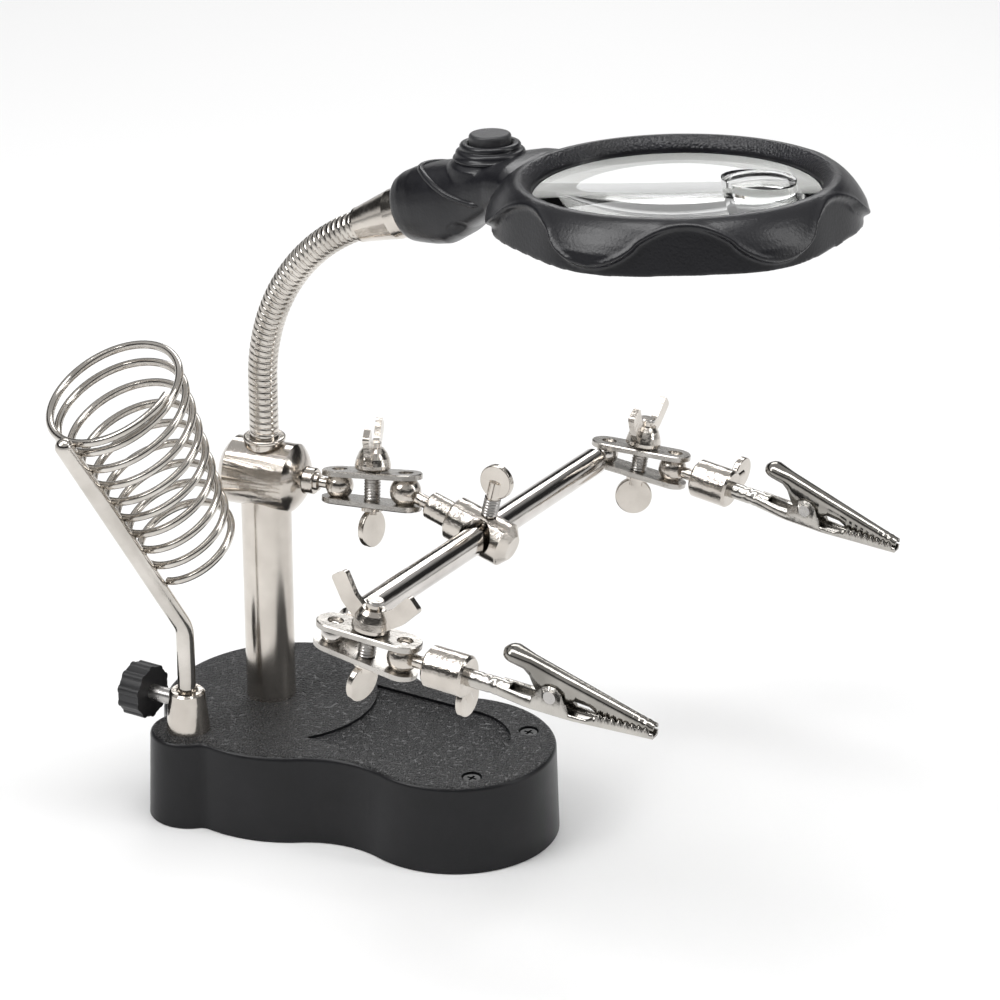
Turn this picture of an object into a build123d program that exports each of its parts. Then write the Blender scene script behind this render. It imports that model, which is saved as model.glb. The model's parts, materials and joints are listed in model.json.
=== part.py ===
"""Soldering helping hands: weighted base, column, iron stand, lit magnifier and two clip arms.

Millimetres, +Z up. The origin is on the column's axis at the surface the base stands on,
and +X runs along the base's long axis towards its narrow end.
"""

import os
from math import atan2, cos, degrees, hypot, pi, radians, sin, sqrt

from build123d import *

# ---------------------------------------------------------------- driving dimensions
# Base
BASE_HEIGHT = 23.0
BASE_WALL = 2.4
BASE_TOP_WALL = 2.4
BASE_DRAFT = 0.9
REAR_LOBE = (7.0, 33.0)
FRONT_LOBE = (54.5, 25.0)
WAIST_RADIUS = 25.0
EAR_RADIUS = 9.5
PANEL_RADIUS = 16.8
PANEL_FRONT_X = 51.0
PANEL_REAR_RADIUS = 27.0
PANEL_DEPTH = 0.7
FLOOR_THICKNESS = 2.0
FLOOR_INSET = 0.6
TOP_SCREW = (67.4, 14.0)
CELL_DIAMETER = 10.2
CELL_LENGTH = 44.5
CELL_PITCH = 10.8
BALLAST_THICKNESS = 8.0

# Column and its head block
COLUMN_DIAMETER = 12.5
COLUMN_BORE = 6.0
BLOCK_HEIGHT = 83.6
BLOCK_YAW = 8.0
BLOCK_RADIUS = 8.5
BLOCK_SPHERE = 11.7
COLLAR_DIAMETER = 8.8
COLLAR_TOP = 93.8

# Gooseneck
HOSE_DIAMETER = 7.2
HOSE_SIDE_PIVOT = 101.0
HOSE_ARC_START = 108.5
HOSE_ARC_RADIUS = 50.0
HOSE_ARC_TURN = 66.0
HOSE_FORE_JOINTS = 5
FERRULE_LENGTH = 12.6
FERRULE_RADII = (4.3, 6.1)
SOCKET_GAP = 0.12

# Magnifier head
HEAD_ORIGIN = (112.8, 0.0, 180.7)
HEAD_PITCH = 3.3
HEAD_ROLL = -2.3
CREST_RADIUS = 35.9
RING_RADIUS = 43.0
RING_DEPTH = 12.0
GLASS_RADIUS = 32.6
LENS_RADIUS = 34.0
INSET_LENS_RADIUS = 8.5
COVER_THICKNESS = 1.8
SCALLOPS = 6
BUTTON_X = -48.2
BUTTON_RADIUS = 4.9
BUTTON_TRAVEL = 1.2

# Iron stand
STAND_FOOT = (-7.0, -27.0)
STAND_ROD_DIAMETER = 4.5
SOCKET_HEIGHT = 10.5
STAND_BEND_HEIGHT = 50.7
STAND_LEAN = 29.4
STAND_YAW = -111.0
STAND_LEG = 65.0
COIL_WIRE = 2.0
COIL_TOP_RADIUS = 17.1
COIL_BOTTOM_RADIUS = 11.4
COIL_TURNS = 9.25
COIL_LAST_PITCH = 0.42
COIL_POINTS_PER_TURN = 12
KNOB_RADIUS = 6.9

# Ball-joint links
LINK_LENGTH = 26.0
LINK_WIDTH = 8.6
LINK_THICKNESS = 1.4
BALL_SPACING = 17.5
SEAT_RADIUS = 1.9
SEAT_GAP = 0.14
LINK_SCREW_DIAMETER = 3.7
PADDLE_RADIUS = 4.7
THUMB_RADIUS = 4.3
PADDLE_THICKNESS = 1.7

# Cross rod and its clamp
ROD_DIAMETER = 7.0
ROD_FRONT = 69.0
ROD_REAR = 63.4
CLAMP_REACH = 23.2
CLAMP_BALL = 3.9
ROD_BALL = 2.9
ROD_NECK = 1.05
STUD_BALL = 3.5
HOLDER_BALL = 3.6

# Clip holders and clips
HOLDER_RADIUS = 4.9
HOLDER_START = 7.0
HOLDER_LENGTH = 10.3
TAIL_RADIUS = 2.05
CLIP_LENGTH = 46.5
CLIP_PIVOT = (21.8, 2.8)
SHEET = 0.5
TOOTH_PITCH = 1.6
TOOTH_DEPTH = 0.9

# Poses of the arm's pieces at rest: yaw from +X, pitch above level and roll, in degrees
COLUMN_LINK_POSE = (9.8, 3.2, -12.5)
CLAMP_POSE = (0.0, -15.7, -2.0)
FRONT_LINK_POSE = (5.5, -8.5, -3.5)
REAR_LINK_POSE = (12.0, -7.0, -9.0)
FRONT_HOLDER_POSE = (1.5, -3.2, 0.0)
REAR_HOLDER_POSE = (-1.0, -6.5, 0.0)

# Running fit between a turning piece and its seat
RUNNING = 0.05
# Assembly gap between two fixed pieces
FIXED = 0.02


# ---------------------------------------------------------------- helpers
def polar(angle, radius=1.0):
    return (radius * cos(radians(angle)), radius * sin(radians(angle)))


def pose(origin, yaw, pitch, roll=0.0):
    """Location whose X axis has this yaw and upward pitch, rolled about X."""
    a, b, c = radians(yaw), radians(pitch), radians(roll)
    x_dir = Vector(cos(b) * cos(a), cos(b) * sin(a), sin(b))
    level = Vector(-sin(a), cos(a), 0)
    upright = x_dir.cross(level)
    z_dir = level * -sin(c) + upright * cos(c)
    return Plane(origin=origin, x_dir=x_dir, z_dir=z_dir).location


def at(location, x, y=0.0, z=0.0):
    """Position in the row frame of a point given in a local frame."""
    return (location * Pos(x, y, z)).position


def rod(start, end, radius):
    """Cylinder between two points."""
    start, end = Vector(*start), Vector(*end)
    axis = end - start
    plane = Plane(origin=start, z_dir=axis)
    return extrude(plane * Circle(radius), amount=axis.length)


def turned(points):
    """Solid turned about local X from (x, radius) corners; the axis closes the outline."""
    outline = Polyline(*[(x, r, 0) for x, r in points], close=True)
    return revolve(make_face(outline), Axis.X)


def bevelled(start, end, radius, bevel):
    """Corners of a turned length with both ends bevelled."""
    return [
        (start, 0),
        (start, radius - bevel),
        (start + bevel, radius),
        (end - bevel, radius),
        (end, radius - bevel),
        (end, 0),
    ]


def ball(x, radius):
    return Pos(x, 0, 0) * Sphere(radius)


def paddle(radius, thickness):
    """Thumb paddle: a flat coin that stands in local XZ, with softened rims."""
    coin = Rot(90, 0, 0) * Cylinder(radius, thickness)
    return fillet(coin.edges().filter_by(GeomType.CIRCLE), 0.35)


os.makedirs("parts", exist_ok=True)


def write(node, *shapes):
    """Write one node; several shapes stay separate solids of that node."""
    solids = [solid for shape in shapes for solid in shape.solids()]
    shape = solids[0] if len(solids) == 1 else Compound(children=solids)
    shape.label = node
    export_step(shape, f"parts/{node}.step")


# ---------------------------------------------------------------- base
def waist_centre():
    """Centre of the arc that touches both lobes from outside, on the +Y side."""
    (x1, r1), (x2, r2) = REAR_LOBE, FRONT_LOBE
    d1, d2, span = r1 + WAIST_RADIUS, r2 + WAIST_RADIUS, x2 - x1
    along = (d1**2 - d2**2 + span**2) / (2 * span)
    return x1 + along, sqrt(d1**2 - along**2)


def touch(lobe, side, inset):
    """Point where the waist arc touches a lobe."""
    (xw, yw), (xc, r) = waist_centre(), lobe
    reach = hypot(xw - xc, yw)
    return (xc + (r - inset) * (xw - xc) / reach, side * (r - inset) * yw / reach)


def base_outline(inset):
    """Two lobes joined by a waist, with the ear that carries the iron stand."""
    xw, yw = waist_centre()
    dip = yw - WAIST_RADIUS - inset
    rear_top, rear_low = touch(REAR_LOBE, 1, inset), touch(REAR_LOBE, -1, inset)
    front_top, front_low = touch(FRONT_LOBE, 1, inset), touch(FRONT_LOBE, -1, inset)
    back = (REAR_LOBE[0] - REAR_LOBE[1] + inset, 0)
    nose = (FRONT_LOBE[0] + FRONT_LOBE[1] - inset, 0)
    edge = (
        ThreePointArc(rear_top, back, rear_low)
        + ThreePointArc(rear_low, (xw, -dip), front_low)
        + ThreePointArc(front_low, nose, front_top)
        + ThreePointArc(front_top, (xw, dip), rear_top)
    )
    lobes = make_face(edge)
    ear = Pos(*STAND_FOOT) * Circle(EAR_RADIUS - inset)
    joined = lobes + ear
    corners = [v for v in joined.vertices() if v.Y < -25 and v.X < 5]
    return fillet(corners, 3.0)


def panel_outline():
    """Sunken panel on the narrow lobe; its rear edge follows the column."""
    nose = Pos(PANEL_FRONT_X, 0) * Circle(PANEL_RADIUS)
    bed = Pos(PANEL_FRONT_X / 2, 0) * Rectangle(PANEL_FRONT_X, 2 * PANEL_RADIUS)
    return nose + bed - Circle(PANEL_REAR_RADIUS)


def case_screw(length, head=2.1, shank=1.2):
    """Cross-recess pan screw along -Z with its head's top at the origin."""
    body = Pos(0, 0, -0.6) * Cylinder(head, 1.2)
    body += Pos(0, 0, -length / 2) * Cylinder(shank, length)
    cross = Box(2.6, 0.6, 1.0) + Box(0.6, 2.6, 1.0)
    return body - cross


BAY_X = (18.0, 66.0)
BAY_HALF = 17.0
FLOOR_TOP = FLOOR_INSET + FLOOR_THICKNESS
CELL_START = BAY_X[0] + 2.0
CELL_Z = FLOOR_TOP + 0.4 + CELL_DIAMETER / 2
FLOOR_SCREWS = [(-17.0, 9.0), (2.0, 26.0), (8.0, -26.0), (71.0, 0.0)]
SPIGOT_RADIUS = 4.5
PILOT_RADIUS = 1.22
POST_RADIUS = 2.8
BAY_WALL = 1.5


def base_shell():
    top = Pos(0, 0, BASE_HEIGHT) * base_outline(0)
    foot = base_outline(-BASE_DRAFT)
    body = loft([foot.face(), top.face()], ruled=True)
    rim = body.faces().sort_by(Axis.Z)[-1].edges()
    body = fillet(rim, 1.2)
    body -= extrude(base_outline(BASE_WALL), amount=BASE_HEIGHT - BASE_TOP_WALL)
    body -= Pos(0, 0, BASE_HEIGHT - PANEL_DEPTH) * extrude(panel_outline(), amount=5)
    ceiling = BASE_HEIGHT - BASE_TOP_WALL
    bay_centre = sum(BAY_X) / 2
    bay_length = BAY_X[1] - BAY_X[0]
    outer = Box(bay_length + BAY_WALL, 2 * BAY_HALF + BAY_WALL, ceiling - FLOOR_TOP)
    inner = Box(bay_length - BAY_WALL, 2 * BAY_HALF - BAY_WALL, ceiling)
    wall = Pos(bay_centre, 0, (ceiling + FLOOR_TOP) / 2) * (outer - inner)
    body += wall & extrude(base_outline(BASE_WALL - 1), amount=ceiling)
    for x, y in FLOOR_SCREWS:
        body += Pos(x, y, (ceiling + FLOOR_TOP) / 2) * Cylinder(POST_RADIUS, ceiling - FLOOR_TOP)
        body -= Pos(x, y, 7) * Cylinder(PILOT_RADIUS, 12)
    for side in (-1, 1):
        x, y = TOP_SCREW[0], side * TOP_SCREW[1]
        body += Pos(x, y, 18) * Cylinder(3.2, 6)
        body -= Pos(x, y, BASE_HEIGHT) * Cylinder(2.5, 3.2)
        body -= Pos(x, y, 18) * Cylinder(PILOT_RADIUS, 12)
    body -= Cylinder(SPIGOT_RADIUS + 0.1, 60)
    body -= Pos(*STAND_FOOT, BASE_HEIGHT) * Cylinder(2.1, 20)
    return body


def base_floor():
    plate = Pos(0, 0, FLOOR_INSET) * extrude(
        base_outline(BASE_WALL + 0.15), amount=FLOOR_THICKNESS
    )
    centre = sum(BAY_X) / 2
    length = BAY_X[1] - BAY_X[0]
    door_z = FLOOR_INSET + 0.7
    plate -= Pos(centre, 0, FLOOR_TOP) * Box(length - BAY_WALL, 2 * BAY_HALF - BAY_WALL, 9)
    plate -= Pos(centre, 0, door_z - 2) * Box(length + 0.6, 2 * BAY_HALF + 0.6, 4)
    for x, y in FLOOR_SCREWS:
        plate -= Pos(x, y, 0) * Cylinder(1.3, 9)
        plate -= Pos(x, y, FLOOR_INSET) * Cylinder(2.3, 2.6)
    return plate


def battery_door():
    centre = sum(BAY_X) / 2
    length = BAY_X[1] - BAY_X[0]
    door = Pos(centre, 0, FLOOR_INSET + 0.35) * Box(length + 0.2, 2 * BAY_HALF + 0.2, 0.7)
    ridge_x = [centre - 4 + 2 * i for i in range(5)]
    for x in ridge_x:
        door += Pos(x, 0, FLOOR_INSET - 0.1) * Box(0.8, 14, 0.4)
    return door


def cells():
    body = CELL_LENGTH - 0.8
    for i in (-1, 0, 1):
        y = i * CELL_PITCH
        way = 1 if i % 2 else -1
        middle = Pos(CELL_START + CELL_LENGTH / 2, y, CELL_Z)
        can = Pos(-way * 0.4, 0, 0) * Rot(0, 90, 0) * Cylinder(CELL_DIAMETER / 2, body)
        nub_x = way * (CELL_LENGTH / 2 - 0.5)
        can += Pos(nub_x, 0, 0) * Rot(0, 90, 0) * Cylinder(1.9, 1.0)
        yield middle * can


def contacts():
    """Plate at each end of each cell."""
    for x in (CELL_START - 0.25, CELL_START + CELL_LENGTH + 0.25):
        for i in (-1, 0, 1):
            yield Pos(x, i * CELL_PITCH, CELL_Z) * Box(0.4, 8.0, 8.0)


def ballast():
    plate = extrude(base_outline(BASE_WALL + 0.6), amount=BALLAST_THICKNESS)
    plate &= Pos(-20, 0, 0) * Box(2 * (BAY_X[0] + 19.0 - 2.0), 90, 60)
    plate = Pos(0, 0, FLOOR_TOP) * plate
    plate -= Cylinder(7.0, 60)
    for x, y in FLOOR_SCREWS:
        plate -= Pos(x, y, 0) * Cylinder(3.4, 60)
    return plate


def foot_pads():
    for x, y in [(-14.0, 18.0), (-14.0, -16.0), (70.0, 11.5), (70.0, -11.5)]:
        yield Pos(x, y, FLOOR_INSET / 2) * Cylinder(1.9, FLOOR_INSET)


def case_screws():
    for side in (-1, 1):
        place = Pos(TOP_SCREW[0], side * TOP_SCREW[1], BASE_HEIGHT - 0.4)
        yield place * case_screw(8.0)
    for x, y in FLOOR_SCREWS:
        yield Pos(x, y, FLOOR_INSET + 0.1) * Rot(180, 0, 0) * case_screw(9.0)


# ---------------------------------------------------------------- column and block
BLOCK = pose((0, 0, BLOCK_HEIGHT), BLOCK_YAW, 0)
SOCKET_FACE = 4.0
COLUMN_TOP = BLOCK_HEIGHT - SOCKET_FACE
NUT_HEIGHT = 4.6
STUD_SEAT = 10.8
STUD_REACH = 20.15
WIRE_HOLE = 2.2


def column():
    height = COLUMN_TOP - BASE_HEIGHT
    tube = Pos(0, 0, BASE_HEIGHT + height / 2) * Cylinder(COLUMN_DIAMETER / 2, height)
    tube += Pos(0, 0, BASE_HEIGHT - 5.0) * Cylinder(SPIGOT_RADIUS, 10.0)
    return tube - Cylinder(COLUMN_BORE / 2, 200)


def column_nut():
    flats = RegularPolygon(7.5, 6)
    z = BASE_HEIGHT - BASE_TOP_WALL - NUT_HEIGHT
    nut = Pos(0, 0, z) * extrude(flats, amount=NUT_HEIGHT - 0.9)
    nut += Pos(0, 0, z + NUT_HEIGHT - 0.45) * Cylinder(8.6, 0.9)
    return nut - Cylinder(SPIGOT_RADIUS + FIXED, 60)


def joint_block():
    barrel = Rot(0, 90, 0) * Cylinder(BLOCK_RADIUS, 40)
    body = barrel & Sphere(BLOCK_SPHERE)
    collar = COLLAR_TOP - BLOCK_HEIGHT
    body += Pos(0, 0, collar / 2) * Cylinder(COLLAR_DIAMETER / 2, collar)
    bead = Pos(0, 0, collar - 0.6) * Cylinder(COLLAR_DIAMETER / 2 + 0.9, 1.2)
    body += fillet(bead.edges(), 0.5)
    body -= Pos(0, 0, -SOCKET_FACE - 20) * Cylinder(COLUMN_DIAMETER / 2 + FIXED, 40)
    body -= Pos(0, 0, SOCKET_FACE + 20) * Cylinder(HOSE_DIAMETER / 2 + FIXED, 40)
    body -= Cylinder(WIRE_HOLE, 30)
    body -= rod((STUD_SEAT, 0, 0), (30, 0, 0), 3.5)
    body -= rod((4.0, 0, 0), (30, 0, 0), 2.0 + FIXED)
    return BLOCK * body


def block_stud():
    shank = [(5.0, 0), (5.0, 2.0), (STUD_SEAT, 2.0)]
    flange = [(STUD_SEAT, 3.3), (STUD_SEAT + 2.8, 3.3), (STUD_SEAT + 3.1, 3.0)]
    taper = [(STUD_SEAT + 3.1, 2.3), (STUD_SEAT + 4.0, 2.2), (STUD_SEAT + 4.3, 1.35)]
    stem = [(STUD_REACH, 1.35), (STUD_REACH, 0)]
    return BLOCK * (turned(shank + flange + taper + stem) + ball(STUD_REACH, STUD_BALL))


# ---------------------------------------------------------------- gooseneck
def arc_point(turn):
    a = radians(turn)
    x = HOSE_ARC_RADIUS * (1 - cos(a))
    return (x, 0, HOSE_ARC_START + HOSE_ARC_RADIUS * sin(a))


FORE_TURNS = [
    HOSE_ARC_TURN * (i + 0.5) / HOSE_FORE_JOINTS for i in range(HOSE_FORE_JOINTS)
]
HOSE_POINTS = [
    (0, 0, BLOCK_HEIGHT + 4.4),
    (0, 0, HOSE_SIDE_PIVOT),
    *[arc_point(turn) for turn in FORE_TURNS],
    arc_point(HOSE_ARC_TURN),
]
HOSE_TILT = 90.0 - HOSE_ARC_TURN


def hose_segment(index):
    """Length of hose whose top is a ball in the next length's cup."""
    start, end = HOSE_POINTS[index], HOSE_POINTS[index + 1]
    last = index == len(HOSE_POINTS) - 2
    body = rod(start, end, HOSE_DIAMETER / 2)
    if not last:
        body += Pos(*end) * Sphere(HOSE_DIAMETER / 2)
    if index:
        body -= Pos(*start) * Sphere(HOSE_DIAMETER / 2 + SOCKET_GAP)
    return body


# ---------------------------------------------------------------- magnifier head
HEAD = pose(HEAD_ORIGIN, 0, HEAD_PITCH, HEAD_ROLL)
FERRULE = pose(arc_point(HOSE_ARC_TURN), 0, HOSE_TILT)
NECK_HALF = 11.0
SPLIT = -RING_DEPTH + COVER_THICKNESS
SEAT_TOP = -3.3
COVER_BORE = 31.6
LENS_SAG = 2.6
RIM_TOP = SEAT_TOP - 0.04
RIM_LOW = -5.31


def spin(points):
    """Solid turned about local Z from (radius, z) corners."""
    outline = Polyline(*[(r, 0, z) for r, z in points], close=True)
    return revolve(make_face(outline), Axis.Z)


def ring_body():
    """Ring with a domed outside, a sloped bezel and the lens seat."""
    crest = (CREST_RADIUS, 0, 0)
    belly = (RING_RADIUS, 0, SPLIT + 1.5)
    shoulder = (RING_RADIUS - 2.9, 0, -3.4)
    dome = ThreePointArc(crest, shoulder, belly)
    rest = Polyline(
        belly,
        (RING_RADIUS - 0.4, 0, SPLIT),
        (LENS_RADIUS + 0.2, 0, SPLIT),
        (LENS_RADIUS + 0.2, 0, SEAT_TOP),
        (GLASS_RADIUS, 0, SEAT_TOP),
        (GLASS_RADIUS, 0, -2.5),
        (CREST_RADIUS - 1.0, 0, -0.5),
        crest,
    )
    body = revolve(make_face(dome + rest), Axis.Z)
    for arch in arches():
        body -= arch
    return body


def neck_outline():
    """Side view of the neck in the head's XZ plane."""
    corners = [
        (-35.5, -0.9),
        (-60.0, -1.4),
        (-75.2, -10.0),
        (-73.2, -24.6),
        (-59.5, -24.3),
        (-49.5, -13.6),
        (-45.0, -RING_DEPTH),
        (-35.5, -RING_DEPTH),
    ]
    face = make_face(Polyline(*corners, close=True))
    round_top = face.vertices().sort_by(Axis.Y)
    rear = [v for v in round_top if v.X < -55]
    return fillet(rear, 3.6)


def neck_body():
    side = Plane.XZ * neck_outline()
    block = extrude(side, amount=NECK_HALF, both=True)
    near = [(-30, -14), (-44, -NECK_HALF), (-62, -9.6), (-80, -8.4)]
    far = [(x, -y) for x, y in reversed(near)]
    plan = make_face(Polyline(*near, *far, close=True))
    block &= Pos(0, 0, -40) * extrude(plan, amount=60)
    return block - Cylinder(LENS_RADIUS + 1.2, 60)


def head_cavity():
    """Room inside the neck for the switch and the lamp board."""
    room = Pos(-52.0, 0, -8.6) * Box(19.0, 15.0, 13.2)
    room += Pos(-40.4, 0, -7.6) * Box(5.0, 25.0, 5.9)
    return room


def ferrule_hole():
    bore = rod((FERRULE_LENGTH - 6.0, 0, 0), (FERRULE_LENGTH + 4.0, 0, 0), FERRULE_RADII[1] + FIXED)
    return HEAD.inverse() * FERRULE * bore


def head_whole():
    body = ring_body() + neck_body()
    body += Pos(BUTTON_X, 0, -1.2) * Cylinder(9.1, 3.0)
    body += Pos(BUTTON_X, 0, 0.9) * Cylinder(7.9, 2.6)
    body -= Pos(BUTTON_X, 0, 0) * Cylinder(BUTTON_RADIUS + 0.25, 12)
    return body - head_cavity() - ferrule_hole()


HEAD_SCREWS = [(38.4, 30.0), (38.4, 90.0), (38.4, -30.0), (38.4, -90.0)]
LAMPS = [(-37.7, 9.6), (-37.7, -9.6)]


def head_housing():
    body = head_whole() - Pos(-60, 0, SPLIT - 20) * Box(60, 60, 40)
    for reach, turn in HEAD_SCREWS:
        x, y = polar(turn, reach)
        body -= Pos(x, y, -10.5) * Cylinder(1.02, 9.4)
    for x, y in LAMPS:
        body -= Pos(x, y, -9) * Cylinder(2.6, 8)
    return HEAD * body


def arches():
    """Arch-shaped recesses round the ring, at every place but the neck's."""
    for i in range(SCALLOPS):
        turn = 360 / SCALLOPS * i
        if turn != 180:
            place = Rot(0, 0, turn) * Pos(RING_RADIUS + 2.0, 0, -15.0) * Rot(0, 90, 0)
            yield place * Cylinder(12.4, 9.0)


def head_cover_body():
    """Plate that closes the ring and the neck from below and carries the lens."""
    seat = RIM_LOW - 0.04
    body = spin(
        [
            (COVER_BORE, -RING_DEPTH),
            (COVER_BORE, SPLIT),
            (COVER_BORE + 0.6, seat),
            (LENS_RADIUS + 0.1, seat),
            (LENS_RADIUS + 0.1, SPLIT - FIXED),
            (RING_RADIUS - 0.6, SPLIT - FIXED),
            (RING_RADIUS - 1.0, -RING_DEPTH),
        ]
    )
    for arch in arches():
        body -= arch
    body += neck_body() & Pos(-60, 0, SPLIT - FIXED - 20) * Box(60, 60, 40)
    body -= Pos(-53.0, 0, -14.5) * Box(17.0, 13.0, 9.0)
    body -= ferrule_hole()
    for reach, turn in HEAD_SCREWS:
        x, y = polar(turn, reach)
        body -= Pos(x, y, 0) * Cylinder(1.1, 60)
        body -= Pos(x, y, -RING_DEPTH) * Cylinder(2.0, 2.6)
    for x, y in LAMPS:
        body -= Pos(x, y, -12) * Cylinder(2.6, 8)
    return body


def lens_solid():
    """Biconvex lens with a flat rim, less the seat of the small strong lens."""
    crown = RIM_TOP + LENS_SAG
    base = RIM_LOW - LENS_SAG
    top_edge = (GLASS_RADIUS - 0.2, 0, RIM_TOP)
    low_edge = (COVER_BORE + 0.3, 0, RIM_LOW)
    half_way = 0.76 * LENS_SAG
    top = ThreePointArc((0, 0, crown), (top_edge[0] / 2, 0, RIM_TOP + half_way), top_edge)
    rim = Polyline(top_edge, (LENS_RADIUS, 0, RIM_TOP), (LENS_RADIUS, 0, RIM_LOW), low_edge)
    low = ThreePointArc(low_edge, (low_edge[0] / 2, 0, RIM_LOW - half_way), (0, 0, base))
    return revolve(make_face(top + rim + low + Line((0, 0, base), (0, 0, crown))), Axis.Z)


INSET_AT = (16.0, 9.0)


def lenses():
    whole = lens_solid()
    hole = Pos(*INSET_AT, -4.3) * Cylinder(INSET_LENS_RADIUS + FIXED, 20)
    bead = 24.0
    inset = Pos(*INSET_AT, -1.9 - bead + 1.6) * Sphere(bead)
    inset &= Pos(*INSET_AT, 0.0) * Cylinder(INSET_LENS_RADIUS, 11.6)
    return HEAD * (whole - hole), HEAD * inset


def lamps():
    for x, y in LAMPS:
        bulb = Pos(x, y, -8.9) * Cylinder(2.45, 3.4)
        bulb += Pos(x, y, -10.6) * Sphere(2.45)
        yield HEAD * bulb


def lamp_board():
    return HEAD * (Pos(-40.4, 0, -6.6) * Box(4.4, 24.4, 1.0))


SWITCH_TOP = -2.2


def switch_body():
    body = Pos(BUTTON_X, 0, SWITCH_TOP - 3.7) * Box(8.5, 8.5, 7.4)
    return HEAD * (body - Pos(BUTTON_X, 0, SWITCH_TOP) * Cylinder(2.3, 9.0))


def switch_button():
    cap = Pos(BUTTON_X, 0, 1.8) * Cylinder(BUTTON_RADIUS, 5.4)
    cap = fillet(cap.edges().filter_by(GeomType.CIRCLE).sort_by(Axis.Z)[-1], 0.8)
    stem = Pos(BUTTON_X, 0, -2.6) * Cylinder(2.0, 4.0)
    return HEAD * (cap + stem)


def head_screws():
    for reach, turn in HEAD_SCREWS:
        x, y = polar(turn, reach)
        yield HEAD * Pos(x, y, -RING_DEPTH + 0.05) * Rot(180, 0, 0) * case_screw(6.0, 1.9, 1.0)


def ferrule():
    r1, r2 = FERRULE_RADII
    bead = FERRULE_LENGTH - 2.2
    end = FERRULE_LENGTH + 2.5
    body = turned([(-0.6, 0), (-0.6, r1), (0, r1), (bead, r2), (end, r2), (end, 0)])
    body -= rod((-3, 0, 0), (0.25, 0, 0), HOSE_DIAMETER / 2 + 0.1)
    return FERRULE * (body - rod((0, 0, 0), (30, 0, 0), WIRE_HOLE))


# ---------------------------------------------------------------- iron stand
SOCKET_AXIS = Pos(STAND_FOOT[0], STAND_FOOT[1], BASE_HEIGHT)
ROD_FOOT = 3.0
KNOB_HEIGHT = 7.3
KNOB_START = 10.5
KNOB_THICKNESS = 6.0
KNOB_LOBES = 10
KNOB_SCREW_RADIUS = 2.0


def stand_socket():
    cone = Pos(0, 0, SOCKET_HEIGHT / 2) * Cone(5.5, 4.4, SOCKET_HEIGHT)
    cone -= Pos(0, 0, ROD_FOOT + 10) * Cylinder(STAND_ROD_DIAMETER / 2 + RUNNING, 20)
    cone = chamfer(cone.edges().filter_by(GeomType.CIRCLE).sort_by(Axis.Z)[-2:], 0.5)
    cone -= rod((0, 0, KNOB_HEIGHT), (-20, 0, KNOB_HEIGHT), KNOB_SCREW_RADIUS + RUNNING)
    cone -= Cylinder(1.52, 4.4)
    return SOCKET_AXIS * cone


def socket_screw():
    place = SOCKET_AXIS * Pos(0, 0, -BASE_TOP_WALL - 1.2) * Rot(180, 0, 0)
    return place * case_screw(5.6, 3.4, 1.5)


def stand_knob():
    body = Cylinder(KNOB_RADIUS - 0.5, KNOB_THICKNESS)
    for i in range(KNOB_LOBES):
        x, y = polar(360 / KNOB_LOBES * i, KNOB_RADIUS - 1.3)
        body += Pos(x, y, 0) * Cylinder(1.3, KNOB_THICKNESS)
    body -= Cylinder(KNOB_SCREW_RADIUS + FIXED, 20)
    middle = KNOB_START + KNOB_THICKNESS / 2
    return SOCKET_AXIS * Pos(-middle, 0, KNOB_HEIGHT) * Rot(0, 90, 0) * body


def stand_knob_screw():
    tip = STAND_ROD_DIAMETER / 2 + 0.12
    end = KNOB_START + KNOB_THICKNESS - 0.6
    return SOCKET_AXIS * rod((-tip, 0, KNOB_HEIGHT), (-end, 0, KNOB_HEIGHT), KNOB_SCREW_RADIUS)


LEAN_DIRECTION = Vector(
    sin(radians(STAND_LEAN)) * cos(radians(STAND_YAW)),
    sin(radians(STAND_LEAN)) * sin(radians(STAND_YAW)),
    cos(radians(STAND_LEAN)),
)
BEND = Vector(*STAND_FOOT, STAND_BEND_HEIGHT)


def stand_rod():
    foot = Vector(*STAND_FOOT, BASE_HEIGHT + ROD_FOOT + 0.1)
    tip = BEND + LEAN_DIRECTION * STAND_LEG
    path = FilletPolyline(foot, BEND, tip, radius=9.0)
    bar = sweep(Plane(origin=foot, z_dir=(0, 0, 1)) * Circle(STAND_ROD_DIAMETER / 2), path=path)
    return bar + Pos(*tip) * Sphere(STAND_ROD_DIAMETER / 2)


COIL_BOTTOM = Vector(-8.7, -20.6, 69.7)
COIL_TOP = Vector(-17.3, -38.5, 115.9)
COIL_ACROSS = Vector(0, LEAN_DIRECTION.Z, -LEAN_DIRECTION.Y).normalized()
COIL_SIDE = LEAN_DIRECTION.cross(COIL_ACROSS)


def coil_point(turns):
    """Wire centre after this many turns; the last turn lies close on the one below."""
    pitch = 1 / (COIL_TURNS - 1 + COIL_LAST_PITCH)
    rise = min(turns, COIL_TURNS - 1) * pitch + max(turns - COIL_TURNS + 1, 0) * COIL_LAST_PITCH * pitch
    centre = COIL_BOTTOM + (COIL_TOP - COIL_BOTTOM) * rise
    radius = COIL_BOTTOM_RADIUS + (COIL_TOP_RADIUS - COIL_BOTTOM_RADIUS) * rise
    angle = 2 * pi * turns + pi
    return centre + COIL_ACROSS * (radius * cos(angle)) + COIL_SIDE * (radius * sin(angle))


def stand_coil():
    count = round(COIL_TURNS * COIL_POINTS_PER_TURN)
    path = Spline(*[coil_point(i / COIL_POINTS_PER_TURN) for i in range(count + 1)])
    section = Plane(origin=path @ 0, z_dir=path % 0) * Circle(COIL_WIRE / 2)
    return sweep(section, path=path, is_frenet=True)


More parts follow.
